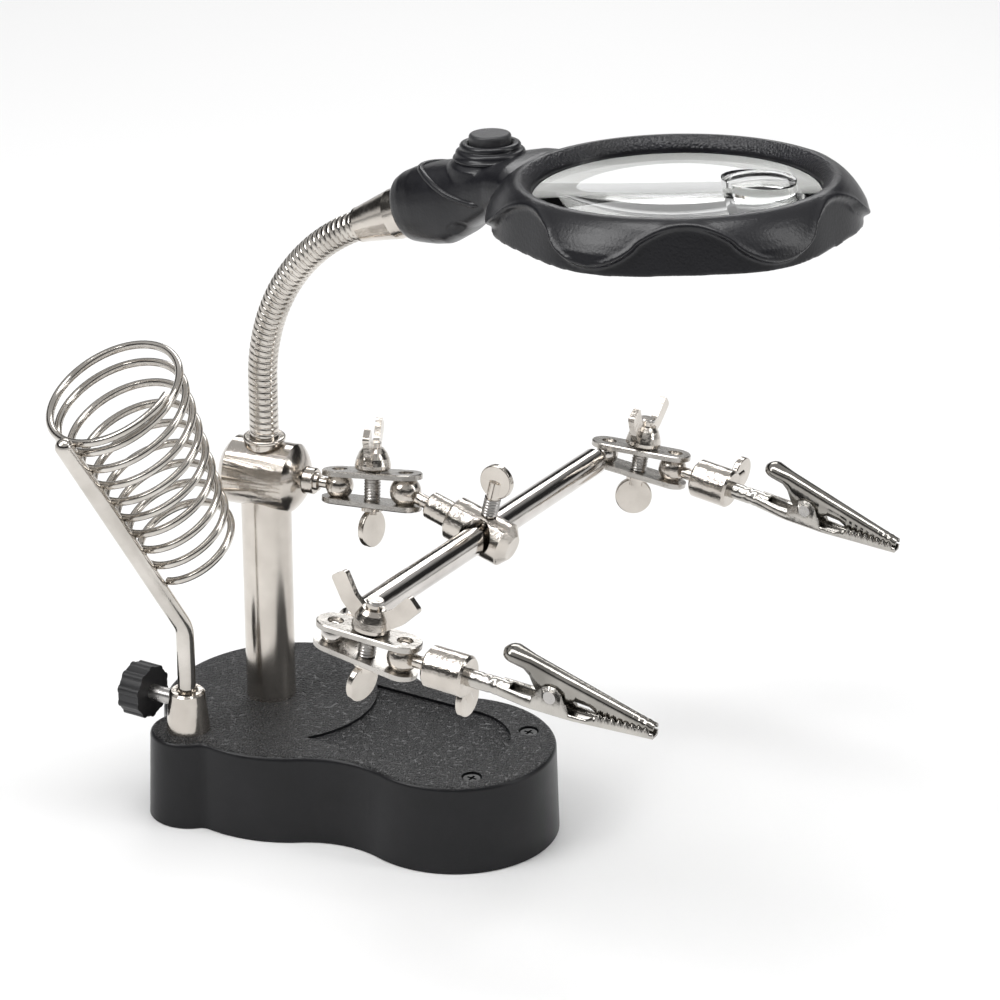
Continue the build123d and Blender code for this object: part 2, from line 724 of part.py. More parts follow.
# ---------------------------------------------------------------- ball-joint links
class Link:
    """Two plates pinched on two balls by a screw; local X runs from ball to ball."""

    def __init__(self, ball_at, link_pose, left_ball, right_ball):
        self.place = pose(ball_at, *link_pose)
        self.balls = (left_ball, right_ball)
        left, right = (sqrt(r**2 - (SEAT_RADIUS + 0.3) ** 2) for r in self.balls)
        self.gap = (left + right) / 2
        self.slope = degrees(atan2(right - left, BALL_SPACING))
        self.top = self.gap + LINK_THICKNESS
        self.far_ball = at(self.place, BALL_SPACING)

    def plates(self):
        outline = SlotOverall(LINK_LENGTH, LINK_WIDTH)
        for side in (1, -1):
            plate = extrude(outline, amount=LINK_THICKNESS)
            plate = chamfer(plate.edges().group_by(Axis.Z)[-1], 0.25)
            plate = Rot(0, -self.slope, 0) * Pos(0, 0, self.gap) * plate
            plate = Pos(BALL_SPACING / 2, 0, 0) * plate
            plate = plate if side > 0 else Rot(180, 0, 0) * plate
            for x, r in zip((0, BALL_SPACING), self.balls):
                plate -= Pos(x, 0, 0) * Sphere(r + RUNNING)
                plate -= Pos(x, 0, 0) * Cylinder(SEAT_RADIUS, 20)
            plate -= Pos(BALL_SPACING / 2, 0, 0) * Cylinder(LINK_SCREW_DIAMETER / 2 + 0.1, 20)
            yield self.place * plate

    def screw(self, turn):
        radius = LINK_SCREW_DIAMETER / 2
        shank = Pos(0, 0, 2.6) * Cylinder(radius, 18.0)
        collar = Pos(0, 0, -self.top - 0.66) * Cylinder(2.7, 1.0)
        coin = Pos(0, 0, -self.top - 5.6) * Rot(0, 0, turn) * paddle(PADDLE_RADIUS, PADDLE_THICKNESS)
        return self.place * Pos(BALL_SPACING / 2, 0, 0) * (shank + collar + coin)

    def wing_nut(self, turn):
        radius = LINK_SCREW_DIAMETER / 2
        hub = spin([(0, 0), (4.0, 0), (4.5, 0.5), (4.5, 1.3), (4.1, 2.9), (3.4, 4.4), (2.6, 5.4), (0, 5.4)])
        corners = [(1.5, 0.9), (4.2, 1.2), (8.2, 4.3), (12.0, 9.2), (8.6, 11.8), (5.0, 7.0), (1.5, 4.6)]
        wing = make_face(Polyline(*corners, close=True))
        wing = fillet([v for v in wing.vertices() if v.X > 4], 0.9)
        blade = extrude(Plane.XZ * wing, amount=0.8, both=True)
        nut = hub + blade + Rot(0, 0, 180) * blade
        nut -= Cylinder(radius + RUNNING, 40)
        lift = Pos(BALL_SPACING / 2, 0, self.top + 0.35)
        return self.place * lift * Rot(0, 0, turn) * nut


COLUMN_LINK = Link(at(BLOCK, STUD_REACH), COLUMN_LINK_POSE, STUD_BALL, CLAMP_BALL)
CLAMP = pose(COLUMN_LINK.far_ball, *CLAMP_POSE)
FRONT_LINK = Link(at(CLAMP, CLAMP_REACH, -ROD_FRONT), FRONT_LINK_POSE, ROD_BALL, HOLDER_BALL)
REAR_LINK = Link(at(CLAMP, CLAMP_REACH, ROD_REAR), REAR_LINK_POSE, ROD_BALL, HOLDER_BALL)
FRONT_HOLDER = pose(FRONT_LINK.far_ball, *FRONT_HOLDER_POSE)
REAR_HOLDER = pose(REAR_LINK.far_ball, *REAR_HOLDER_POSE)


# ---------------------------------------------------------------- rod clamp and cross rod
BARREL = (14.0, 29.4, 5.5)
CLAMP_BORE_RISE = 0.6
CLAMP_BORE = ROD_DIAMETER / 2 + CLAMP_BORE_RISE + 0.1
CLAMP_SCREW_LEAN = -3.0
CLAMP_SCREW_RADIUS = 1.8
CLAMP_SCREW_SEAT = Pos(CLAMP_REACH, 0, 0) * Rot(0, CLAMP_SCREW_LEAN, 0)


def rod_clamp():
    start, end, radius = BARREL
    neck = [(0, 0), (0, 1.6), (7.2, 1.6), (7.2, 3.1), (7.6, 3.4), (start, 3.4)]
    barrel = [(start, radius - 0.6), (start + 0.6, radius), (end, radius), (end + 1.9, radius - 2.4)]
    body = turned([*neck, *barrel, (end + 1.9, 0)])
    body += ball(0, CLAMP_BALL)
    body -= Pos(CLAMP_REACH, 0, CLAMP_BORE_RISE) * Rot(90, 0, 0) * Cylinder(CLAMP_BORE, 40)
    body -= CLAMP_SCREW_SEAT * Pos(0, 0, 10) * Cylinder(CLAMP_SCREW_RADIUS + RUNNING, 20)
    return CLAMP * body


def thumb_screw(radius, tip, middle):
    """Thumb screw along +Z: shank from its tip to a round paddle centred at `middle`."""
    shank = Pos(0, 0, (tip + middle) / 2) * Cylinder(radius, middle - tip)
    return shank + Pos(0, 0, middle) * paddle(THUMB_RADIUS, PADDLE_THICKNESS)


def clamp_screw():
    tip = ROD_DIAMETER / 2 + 0.15
    return CLAMP * CLAMP_SCREW_SEAT * thumb_screw(CLAMP_SCREW_RADIUS, tip, 14.6)


def cross_rod():
    shoulder = [(0, ROD_NECK), (6.5, ROD_NECK), (6.5, 2.5), (7.5, ROD_DIAMETER / 2)]
    front = [(-ROD_FRONT + x, r) for x, r in shoulder]
    rear = [(ROD_REAR - x, r) for x, r in reversed(shoulder)]
    bar = turned([(-ROD_FRONT, 0), *front, *rear, (ROD_REAR, 0)])
    bar += ball(-ROD_FRONT, ROD_BALL) + ball(ROD_REAR, ROD_BALL)
    return CLAMP * Pos(CLAMP_REACH, 0, 0) * Rot(0, 0, 90) * bar


# ---------------------------------------------------------------- clip holders and clips
HOLDER_END = HOLDER_START + HOLDER_LENGTH
TAIL_DEPTH = 8.0
HOLDER_SCREW_X = HOLDER_END - 2.8
HOLDER_SCREW_RADIUS = 1.5


def holder(place, screw_turn):
    body = turned(bevelled(HOLDER_START, HOLDER_END, HOLDER_RADIUS, 0.6))
    body += turned([(0, 0), (0, 1.5), (HOLDER_START, 1.5), (HOLDER_START, 0)])
    body += ball(0, HOLDER_BALL)
    body -= rod((HOLDER_END - TAIL_DEPTH - 0.3, 0, 0), (HOLDER_END + 5, 0, 0), TAIL_RADIUS + RUNNING)
    bore = Cylinder(HOLDER_SCREW_RADIUS + RUNNING, 20)
    body -= Pos(HOLDER_SCREW_X, 0, 0) * Rot(screw_turn, 0, 0) * Pos(0, 0, 10) * bore
    return place * body


def holder_screw(place, screw_turn, reach, twist):
    seat = place * Pos(HOLDER_SCREW_X, 0, 0) * Rot(screw_turn, 0, 0) * Rot(0, 0, twist)
    return seat * thumb_screw(HOLDER_SCREW_RADIUS, TAIL_RADIUS + 0.12, reach)


def block_of(points, half_width):
    """XZ outline thickened evenly to both sides of the middle plane."""
    face = Plane.XZ * make_face(Polyline(*points, close=True))
    return extrude(face, amount=half_width, both=True)


def side_wall(points, inner, outer):
    """Pair of sheet walls: an outline kept between two distances from the middle."""
    return block_of(points, outer) - block_of(points, inner)


TEETH = (32.8, 45.6)


def tooth_edge(line_z, depth):
    """Zigzag from the back of the jaw to its tip."""
    count = int((TEETH[1] - TEETH[0]) / TOOTH_PITCH)
    points = []
    for i in range(count):
        x = TEETH[0] + i * TOOTH_PITCH
        points += [(x, line_z), (x + TOOTH_PITCH / 2, line_z + depth)]
    return points + [(TEETH[0] + count * TOOTH_PITCH, line_z)]


TOOTH_LINE = 0.7
MESH_GAP = 0.2
PIN_RADIUS = 0.9
LOWER_HALF = 2.6
UPPER_HALF = 2.0
NOSE_HALF = 1.5


def tapered_plan(stations):
    """Tall solid whose half-width follows (x, half-width) stations along the clip."""
    near = [(x, -half) for x, half in stations]
    far = [(x, half) for x, half in reversed(stations)]
    return extrude(make_face(Polyline(*near, *far, close=True)), amount=15, both=True)


def clip_lower():
    """Pressed lower jaw: tail tube, open trough, ears for the rivet and teeth."""
    tube = rod((-TAIL_DEPTH, 0, 0), (12.0, 0, 0), TAIL_RADIUS)
    tube -= rod((-TAIL_DEPTH - 1, 0, 0), (20.0, 0, 0), TAIL_RADIUS - SHEET)
    wall = [(9.0, -2.0), (9.0, 1.6), (17.2, 1.2), (19.0, 4.4), (21.8, 5.2), (24.0, 4.2),
            (26.4, -0.6), (30.4, -0.6), (TEETH[0] - 0.4, TOOTH_LINE), *tooth_edge(TOOTH_LINE, TOOTH_DEPTH),
            (CLIP_LENGTH, 0.2), (CLIP_LENGTH, -1.0), (27.0, -1.9)]
    walls = side_wall(wall, LOWER_HALF - SHEET, LOWER_HALF)
    floor = block_of([(9.0, -2.0), (27.0, -1.9), (CLIP_LENGTH, -1.0), (CLIP_LENGTH, -0.5),
                      (27.0, -1.4), (9.0, -1.5)], LOWER_HALF)
    body = walls + floor
    taper = tapered_plan([(8.5, 2.0), (15.0, LOWER_HALF), (27.0, LOWER_HALF), (CLIP_LENGTH, NOSE_HALF)])
    jaw = [p for p in wall if p[0] > 26]
    nose = side_wall(jaw, NOSE_HALF - SHEET, NOSE_HALF) & Pos(46, 0, 0) * Box(32, 9, 20)
    body = (body & taper) + (nose & taper) + tube
    body -= Pos(CLIP_PIVOT[0], 0, CLIP_PIVOT[1]) * Rot(90, 0, 0) * Cylinder(PIN_RADIUS + FIXED, 20)
    return body - rod((-TAIL_DEPTH - 1, 0, 0), (16.0, 0, 0), TAIL_RADIUS - SHEET)


def clip_upper():
    """Pressed upper jaw with its thumb pad; it sits between the ears."""
    line = TOOTH_LINE + MESH_GAP
    teeth = tooth_edge(line, TOOTH_DEPTH)
    back = [(8.7, 9.6), (10.9, 11.4), (24.0, 7.9), (CLIP_LENGTH, 2.2), (CLIP_LENGTH, 1.2)]
    throat = [(TEETH[0] - 0.4, 2.2), (27.6, 2.6), (25.0, 1.4), (20.5, 1.2)]
    grip = [(18.2, 2.6), (15.6, 6.6), (11.4, 8.4)]
    outer = block_of([*back, *reversed(teeth), *throat, *grip], UPPER_HALF)
    nose = CLIP_LENGTH - 1.0
    plan = tapered_plan([(5.0, UPPER_HALF), (26.0, UPPER_HALF), (CLIP_LENGTH, NOSE_HALF)])
    inner, inner_nose = UPPER_HALF - SHEET, NOSE_HALF - SHEET
    hollow_plan = tapered_plan([(5.0, inner), (26.0, inner), (nose, inner_nose)])
    roof = [(5.0, 5.0), (9.2, 9.2), (11.1, 10.8), (24.0, 7.4), (nose, 1.8)]
    under = block_of([*roof, (nose, -5.0), (5.0, -5.0)], 5.0)
    body = (outer & plan) - (under & hollow_plan)
    return body - Pos(CLIP_PIVOT[0], 0, CLIP_PIVOT[1]) * Rot(90, 0, 0) * Cylinder(PIN_RADIUS + RUNNING, 20)


def clip_pin():
    pin = Cylinder(PIN_RADIUS, 5.6)
    for side in (1, -1):
        pin += Pos(0, 0, side * 2.95) * Cylinder(1.5, 0.7)
    return Pos(CLIP_PIVOT[0], 0, CLIP_PIVOT[1]) * Rot(90, 0, 0) * pin


SPRING_WIRE = 0.45


def clip_spring():
    """Torsion coil round the rivet with one leg resting on the trough."""
    height = 1.8
    helix = Helix(pitch=0.56, height=height, radius=1.3, center=(0, 0, -height / 2))
    start = Plane(origin=helix @ 0, z_dir=helix % 0) * Circle(SPRING_WIRE / 2)
    coil = sweep(start, path=helix, is_frenet=True)
    return Pos(CLIP_PIVOT[0], 0, CLIP_PIVOT[1]) * Rot(90, 0, 0) * coil


# ---------------------------------------------------------------- write every node
write("base_shell", base_shell())
write("base_floor", base_floor())
write("battery_door", battery_door())
write("aaa_cells", *cells())
write("battery_contacts", *contacts())
write("ballast_plate", ballast())
write("foot_pads", *foot_pads())
write("case_screws", *case_screws())
write("column", column())
write("column_nut", column_nut())
write("stand_socket", stand_socket())
write("socket_screw", socket_screw())
write("stand_knob", stand_knob())
write("stand_knob_screw", stand_knob_screw())
write("stand_rod", stand_rod())
write("stand_coil", stand_coil())
write("joint_block", joint_block())
write("block_ball_stud", block_stud())

for index in range(len(HOSE_POINTS) - 1):
    write(f"hose_{index + 1}", hose_segment(index))
write("hose_ferrule", ferrule())
write("head_housing", head_housing())
write("head_cover", HEAD * head_cover_body())
write("head_screws", *head_screws())
glass, inset_glass = lenses()
write("main_lens", glass)
write("inset_lens", inset_glass)
write("led_lamps", *lamps())
write("led_board", lamp_board())
write("switch_body", switch_body())
write("switch_button", switch_button())

for name, link, coin_turn, nut_turn in [
    ("column", COLUMN_LINK, 75, 103),
    ("front", FRONT_LINK, 75, -7),
    ("rear", REAR_LINK, 18, 82),
]:
    write(f"link_plates_{name}", *link.plates())
    write(f"link_screw_{name}", link.screw(coin_turn))
    write(f"wing_nut_{name}", link.wing_nut(nut_turn))

write("rod_clamp", rod_clamp())
write("rod_clamp_screw", clamp_screw())
write("cross_rod", cross_rod())

for name, place, screw_turn, reach, twist in [
    ("front", FRONT_HOLDER, -150, 9.6, 90),
    ("rear", REAR_HOLDER, -90, 9.8, 90),
]:
    write(f"holder_{name}", holder(place, screw_turn))
    write(f"holder_screw_{name}", holder_screw(place, screw_turn, reach, twist))
    clip = place * Pos(HOLDER_END, 0, 0)
    write(f"clip_body_{name}", clip * clip_lower())
    write(f"clip_jaw_{name}", clip * clip_upper())
    write(f"clip_pin_{name}", clip * clip_pin())
    write(f"clip_spring_{name}", clip * clip_spring())
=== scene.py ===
import json
from math import cos, exp, pi, radians, sin, sqrt

import bmesh
import bpy
from mathutils import Matrix, Vector
from mathutils.bvhtree import BVHTree


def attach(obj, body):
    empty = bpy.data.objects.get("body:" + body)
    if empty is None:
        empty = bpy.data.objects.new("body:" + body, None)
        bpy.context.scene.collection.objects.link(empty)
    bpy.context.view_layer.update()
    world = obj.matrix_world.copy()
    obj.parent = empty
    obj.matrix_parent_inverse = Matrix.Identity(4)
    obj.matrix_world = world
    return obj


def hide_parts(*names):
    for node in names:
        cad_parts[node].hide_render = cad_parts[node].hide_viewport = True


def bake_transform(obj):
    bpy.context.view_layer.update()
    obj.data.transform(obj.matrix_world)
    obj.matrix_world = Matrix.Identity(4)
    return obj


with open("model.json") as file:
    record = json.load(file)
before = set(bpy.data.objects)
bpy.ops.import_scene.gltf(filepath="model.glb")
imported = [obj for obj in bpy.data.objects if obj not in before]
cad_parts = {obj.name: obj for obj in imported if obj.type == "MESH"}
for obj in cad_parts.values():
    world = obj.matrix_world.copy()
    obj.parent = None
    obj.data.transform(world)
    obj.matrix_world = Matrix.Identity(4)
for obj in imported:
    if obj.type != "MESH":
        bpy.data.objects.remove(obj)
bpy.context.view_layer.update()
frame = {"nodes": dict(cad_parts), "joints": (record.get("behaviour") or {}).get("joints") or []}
NODES = frame["nodes"]
MM = 0.001


# ---------------------------------------------------------------- frames shared with the CAD
def pose(origin, yaw, pitch, roll=0.0):
    """Matrix of a local frame: X has this yaw and upward pitch, then the roll is about X."""
    turn = Matrix.Rotation(radians(yaw), 4, "Z") @ Matrix.Rotation(-radians(pitch), 4, "Y")
    turn = turn @ Matrix.Rotation(radians(roll), 4, "X")
    return Matrix.Translation(Vector(origin)) @ turn


HEAD = pose((112.8, 0.0, 180.7), 0.0, 3.3, -2.3)
BUTTON_X = -48.2
HOSE_RADIUS = 3.6
ARC_START = 108.5
ARC_RADIUS = 50.0
ARC_TURN = radians(66.0)
HOSE_BOTTOM = 88.4


# ---------------------------------------------------------------- node materials
BLACK = (0, 0, 0)
WHITE = (1, 1, 1)


def new_material(name):
    m = bpy.data.materials.new(name)
    m.use_nodes = True
    tree = m.node_tree
    return m, tree, tree.nodes["Principled BSDF"]


def add(tree, kind, **values):
    """New node with its settings, or failing those its sockets, set by name."""
    node = tree.nodes.new(kind)
    for key, value in values.items():
        if hasattr(node, key):
            setattr(node, key, value)
        else:
            node.inputs[key].default_value = value
    return node


def place(tree, stretch=(1.0, 1.0, 1.0)):
    """Object coordinates in metres, stretched along an axis for brushed or drawn finishes."""
    coords = add(tree, "ShaderNodeTexCoord")
    mapping = add(tree, "ShaderNodeMapping")
    mapping.inputs["Scale"].default_value = stretch
    tree.links.new(coords.outputs["Object"], mapping.inputs["Vector"])
    return mapping.outputs["Vector"]


def noise(tree, vector, scale, detail=4.0, roughness=0.55):
    n = add(tree, "ShaderNodeTexNoise", Scale=scale, Detail=detail, Roughness=roughness)
    tree.links.new(vector, n.inputs["Vector"])
    return n.outputs["Fac"]


def cells(tree, vector, scale):
    v = add(tree, "ShaderNodeTexVoronoi", Scale=scale)
    tree.links.new(vector, v.inputs["Vector"])
    return v.outputs["Distance"]


def ramp(tree, fac, *stops):
    """Colour ramp through (position, colour) stops."""
    r = add(tree, "ShaderNodeValToRGB")
    elements = r.color_ramp.elements
    while len(elements) < len(stops):
        elements.new(0.5)
    for element, (position, value) in zip(elements, stops):
        element.position = position
        element.color = (*value, 1.0)
    tree.links.new(fac, r.inputs["Fac"])
    return r.outputs["Color"]


def spread(tree, fac, low, high):
    """Maps a 0 to 1 value to a range."""
    r = add(tree, "ShaderNodeMapRange")
    r.inputs["To Min"].default_value = low
    r.inputs["To Max"].default_value = high
    tree.links.new(fac, r.inputs["Value"])
    return r.outputs["Result"]


def bump(tree, height, strength, distance, under=None):
    b = add(tree, "ShaderNodeBump", Strength=strength, Distance=distance)
    tree.links.new(height, b.inputs["Height"])
    if under is not None:
        tree.links.new(under, b.inputs["Normal"])
    return b.outputs["Normal"]


def metal(name, light, dark, rough, lumps=0.0, stretch=(1, 1, 1), grain=0.04):
    """Nickel plate: mottled tint, smudged gloss and a fine lumpy surface."""
    m, tree, shader = new_material(name)
    vector = place(tree, stretch)
    flat = place(tree)
    tint = ramp(tree, noise(tree, flat, 90.0, 6.0), (0.3, dark), (0.7, light))
    tree.links.new(tint, shader.inputs["Base Color"])
    smudge = noise(tree, vector, 260.0, 5.0)
    tree.links.new(spread(tree, smudge, *rough), shader.inputs["Roughness"])
    shader.inputs["Metallic"].default_value = 1.0
    fine = bump(tree, noise(tree, vector, 2600.0, 3.0), grain, 0.0002)
    if lumps:
        fine = bump(tree, noise(tree, flat, 420.0, 3.0), lumps, 0.0006, fine)
    tree.links.new(fine, shader.inputs["Normal"])
    return m


def plastic(name, light, dark, rough, grain, scale, pebble=0.0, pebble_scale=1500.0):
    """Moulded plastic: slight colour drift, satin gloss and a moulded texture."""
    m, tree, shader = new_material(name)
    vector = place(tree)
    tint = ramp(tree, noise(tree, vector, 70.0, 5.0), (0.3, dark), (0.7, light))
    tree.links.new(tint, shader.inputs["Base Color"])
    smudge = noise(tree, vector, 340.0, 6.0)
    tree.links.new(spread(tree, smudge, *rough), shader.inputs["Roughness"])
    surface = bump(tree, noise(tree, vector, scale, 4.0), grain, 0.0003)
    if pebble:
        ridges = ramp(tree, cells(tree, vector, pebble_scale), (0.0, WHITE), (0.75, BLACK))
        surface = bump(tree, ridges, pebble, 0.0005, surface)
    tree.links.new(surface, shader.inputs["Normal"])
    return m


def leather_base(name):
    """Black base: leather grain on its level top and smooth satin sides."""
    m, tree, shader = new_material(name)
    vector = place(tree)
    geometry = add(tree, "ShaderNodeNewGeometry")
    split = add(tree, "ShaderNodeSeparateXYZ")
    tree.links.new(geometry.outputs["Normal"], split.inputs["Vector"])
    level = ramp(tree, split.outputs["Z"], (0.82, BLACK), (0.97, WHITE))
    dark, light = (0.006, 0.006, 0.007), (0.012, 0.012, 0.014)
    tint = ramp(tree, noise(tree, vector, 60.0, 6.0), (0.3, dark), (0.75, light))
    tree.links.new(tint, shader.inputs["Base Color"])
    satin = spread(tree, noise(tree, vector, 240.0, 6.0), 0.28, 0.40)
    matt = spread(tree, noise(tree, vector, 900.0, 6.0), 0.30, 0.50)
    mix = add(tree, "ShaderNodeMix")
    tree.links.new(level, mix.inputs["Factor"])
    tree.links.new(satin, mix.inputs["A"])
    tree.links.new(matt, mix.inputs["B"])
    tree.links.new(mix.outputs["Result"], shader.inputs["Roughness"])
    tree.links.new(spread(tree, level, 0.3, 0.85), shader.inputs["Specular IOR Level"])
    warp = add(tree, "ShaderNodeTexNoise", Scale=260.0, Detail=2.0)
    tree.links.new(vector, warp.inputs["Vector"])
    shifted = add(tree, "ShaderNodeVectorMath", operation="MULTIPLY_ADD")
    tree.links.new(warp.outputs["Color"], shifted.inputs[0])
    shifted.inputs[1].default_value = (0.0004, 0.0004, 0.0004)
    tree.links.new(vector, shifted.inputs[2])
    domes = ramp(tree, cells(tree, shifted.outputs["Vector"], 1350.0), (0.05, WHITE), (0.75, BLACK))
    grain = add(tree, "ShaderNodeMath", operation="MULTIPLY")
    tree.links.new(domes, grain.inputs[0])
    tree.links.new(level, grain.inputs[1])
    fine = bump(tree, noise(tree, vector, 1500.0, 3.0), 0.10, 0.0002)
    surface = bump(tree, grain.outputs["Value"], 1.0, 0.0007, fine)
    tree.links.new(surface, shader.inputs["Normal"])
    return m


def lens_glass(name, tint):
    """Clear lens or resin: a faint tint and a smeared polish; the low index keeps it light."""
    m, tree, shader = new_material(name)
    vector = place(tree)
    shade = ramp(tree, noise(tree, vector, 40.0, 3.0), (0.2, tint), (0.8, WHITE))
    tree.links.new(shade, shader.inputs["Base Color"])
    smear = spread(tree, noise(tree, vector, 180.0, 6.0), 0.0, 0.03)
    tree.links.new(smear, shader.inputs["Roughness"])
    shader.inputs["Transmission Weight"].default_value = 1.0
    shader.inputs["IOR"].default_value = 1.2
    return m


def drawn(name, light, dark, rough, axis):
    """Drawn bar: long faint lines along one row axis."""
    stretch = [1.0, 1.0, 1.0]
    stretch[axis] = 0.04
    return metal(name, light, dark, rough, stretch=tuple(stretch), grain=0.10)


# Light and dark tint of each material
NICKEL = ((0.70, 0.655, 0.60), (0.52, 0.48, 0.435))
ROD = ((0.74, 0.71, 0.68), (0.58, 0.55, 0.52))
PRESSED = ((0.60, 0.575, 0.54), (0.42, 0.40, 0.375))
HOSE = ((0.72, 0.68, 0.63), (0.5, 0.47, 0.43))
COIL = ((0.70, 0.665, 0.62), (0.5, 0.47, 0.43))
CLIP = ((0.62, 0.595, 0.555), (0.44, 0.42, 0.39))
# Upper jaw: the clip's plated steel darkened, a painted dark reflection of the studio on the jaw
CLIP_PAINTED_DARK_REFLECTION = ((0.42, 0.40, 0.37), (0.24, 0.23, 0.21))
SCREW = ((0.62, 0.6, 0.58), (0.4, 0.39, 0.38))
DARK_SCREW = ((0.10, 0.10, 0.10), (0.04, 0.04, 0.04))
IRON = ((0.14, 0.135, 0.13), (0.06, 0.055, 0.05))
KNOB = ((0.022, 0.022, 0.024), (0.010, 0.010, 0.011))
SHELL = ((0.009, 0.009, 0.012), (0.004, 0.004, 0.006))
BEZEL = ((0.016, 0.016, 0.02), (0.007, 0.007, 0.009))
GREY = ((0.035, 0.035, 0.038), (0.022, 0.022, 0.024))
SLEEVE = ((0.45, 0.45, 0.47), (0.33, 0.33, 0.35))
RUBBER = ((0.03, 0.03, 0.03), (0.018, 0.018, 0.018))
# Painted light: pale tint for the wall under the lens, standing in for the brightness seen through the glass
PAINTED_LIGHT_PALE = ((0.80, 0.80, 0.78), (0.70, 0.70, 0.68))
BOARD = ((0.02, 0.12, 0.05), (0.01, 0.07, 0.03))
MATS = {
    "base_black": leather_base("grained_black_plastic"),
    "knob_black": plastic("knob_black_plastic", *KNOB, (0.35, 0.5), 0.2, 900.0),
    "head_black": plastic("head_black_plastic", *SHELL, (0.24, 0.36), 0.12, 1400.0, 0.04),
    "bezel_black": plastic("bezel_grained_plastic", *BEZEL, (0.3, 0.45), 0.3, 1500.0, 0.35),
    "button_grey": plastic("button_grey_plastic", *GREY, (0.34, 0.48), 0.3, 1200.0),
    "bright_nickel": metal("bright_nickel", *NICKEL, (0.09, 0.22), 0.10),
    "lumpy_nickel": metal("tumbled_nickel", *NICKEL, (0.12, 0.26), 0.35),
    "plate_nickel": metal("pressed_plate_nickel", *PRESSED, (0.20, 0.34), 0.15),
    "column_nickel": drawn("drawn_column_nickel", *NICKEL, (0.12, 0.22), 2),
    "rod_nickel": drawn("drawn_rod_nickel", *ROD, (0.06, 0.14), 1),
    "hose_nickel": metal("wound_hose_nickel", *HOSE, (0.10, 0.22), 0.06),
    "coil_nickel": metal("coil_wire_nickel", *COIL, (0.08, 0.18), 0.05),
    "clip_steel": metal("clip_plated_steel", *CLIP, (0.14, 0.28), 0.2),
    # Painted dark reflection: a darker copy of the clip's plated steel, worn by the upper jaw
    "jaw_steel_painted_reflection": metal("jaw_plated_steel", *CLIP_PAINTED_DARK_REFLECTION, (0.08, 0.2), 0.12),
    "screw_steel": metal("screw_plated_steel", *SCREW, (0.2, 0.36), 0.1),
    "dark_screw": metal("blackened_screw_steel", *DARK_SCREW, (0.3, 0.45), 0.1),
    "glass": lens_glass("lens_glass", (0.975, 0.99, 0.985)),
    "lamp": lens_glass("lamp_clear_resin", (0.95, 0.96, 0.9)),
    "cell": plastic("cell_sleeve", *SLEEVE, (0.3, 0.4), 0.1, 900.0),
    "iron": metal("cast_ballast_iron", *IRON, (0.5, 0.7), 0.6),
    "rubber": plastic("pad_rubber", *RUBBER, (0.7, 0.85), 0.4, 1600.0),
    # Painted light: the wall under the lens is made pale so the glass looks bright
    "painted_light_wall": plastic("pale_reflector_plastic", *PAINTED_LIGHT_PALE, (0.35, 0.5), 0.1, 900.0),
    "board": plastic("board_green", *BOARD, (0.3, 0.4), 0.1, 900.0),
}


def dress(material, *names):
    """Gives CAD nodes a material, whatever slots they came with."""
    for name in names:
        mesh = NODES[name].data
        mesh.materials.clear()
        mesh.materials.append(MATS[material])


SIDES = ("front", "rear")
LINKS = ("column", "front", "rear")
dress("base_black", "base_shell", "base_floor", "battery_door")
dress("knob_black", "stand_knob")
dress("cell", "aaa_cells")
dress("screw_steel", "battery_contacts", "column_nut", "socket_screw", "stand_knob_screw")
dress("dark_screw", "case_screws", "head_screws")
dress("iron", "ballast_plate")
dress("rubber", "foot_pads")
dress("column_nickel", "column")
dress("rod_nickel", "cross_rod")
dress("coil_nickel", "stand_rod", "stand_coil")
dress("bright_nickel", "joint_block", "block_ball_stud", "hose_ferrule", "stand_socket")
dress("lumpy_nickel", "rod_clamp")
dress("bright_nickel", "rod_clamp_screw")
for link in LINKS:
    dress("lumpy_nickel", f"wing_nut_{link}")
    dress("bright_nickel", f"link_screw_{link}")
    dress("plate_nickel", f"link_plates_{link}")
for side in SIDES:
    dress("lumpy_nickel", f"holder_{side}")
    dress("bright_nickel", f"holder_screw_{side}")
    dress("clip_steel", f"clip_body_{side}", f"clip_jaw_{side}")
    dress("screw_steel", f"clip_pin_{side}", f"clip_spring_{side}")
dress("glass", "main_lens", "inset_lens")
dress("lamp", "led_lamps")
dress("board", "led_board")
dress("head_black", "switch_body", "head_housing", "head_cover")
dress("button_grey", "switch_button")
dress("hose_nickel", *[f"hose_{i}" for i in range(1, 8)])


# ---------------------------------------------------------------- mesh helpers, in millimetres
WELD = 1e-7


def mesh_object(name, points, faces, material, matrix=Matrix.Identity(4)):
    """Smooth mesh in the row frame from points in millimetres in a local frame."""
    mesh = bpy.data.meshes.new(name)
    mesh.from_pydata([(matrix @ Vector(p)) * MM for p in points], [], faces)
    mesh.update()
    work = bmesh.new()
    work.from_mesh(mesh)
    bmesh.ops.remove_doubles(work, verts=work.verts, dist=WELD)
    bmesh.ops.recalc_face_normals(work, faces=work.faces)
    work.to_mesh(mesh)
    work.free()
    mesh.materials.append(MATS[material])
    mesh.polygons.foreach_set("use_smooth", [True] * len(mesh.polygons))
    o = bpy.data.objects.new(name, mesh)
    bpy.context.scene.collection.objects.link(o)
    return o


def grid_faces(rows, columns, close_rows=False):
    """Quads between rows of points, where each row is a closed loop."""
    faces = []
    for i in range(rows if close_rows else rows - 1):
        for j in range(columns):
            a, b = i * columns + j, i * columns + (j + 1) % columns
            c, d = ((i + 1) % rows) * columns + (j + 1) % columns, ((i + 1) % rows) * columns + j
            faces.append((a, b, c, d))
    return faces


def capped_faces(rows, columns):
    """Quads between rows of points, with the first and last rows filled."""
    first = tuple(range(columns))
    last = tuple(range((rows - 1) * columns, rows * columns))
    return [*grid_faces(rows, columns), first, last]


def turns(steps):
    """Angles once round a circle."""
    return [2 * pi * k / steps for k in range(steps)]


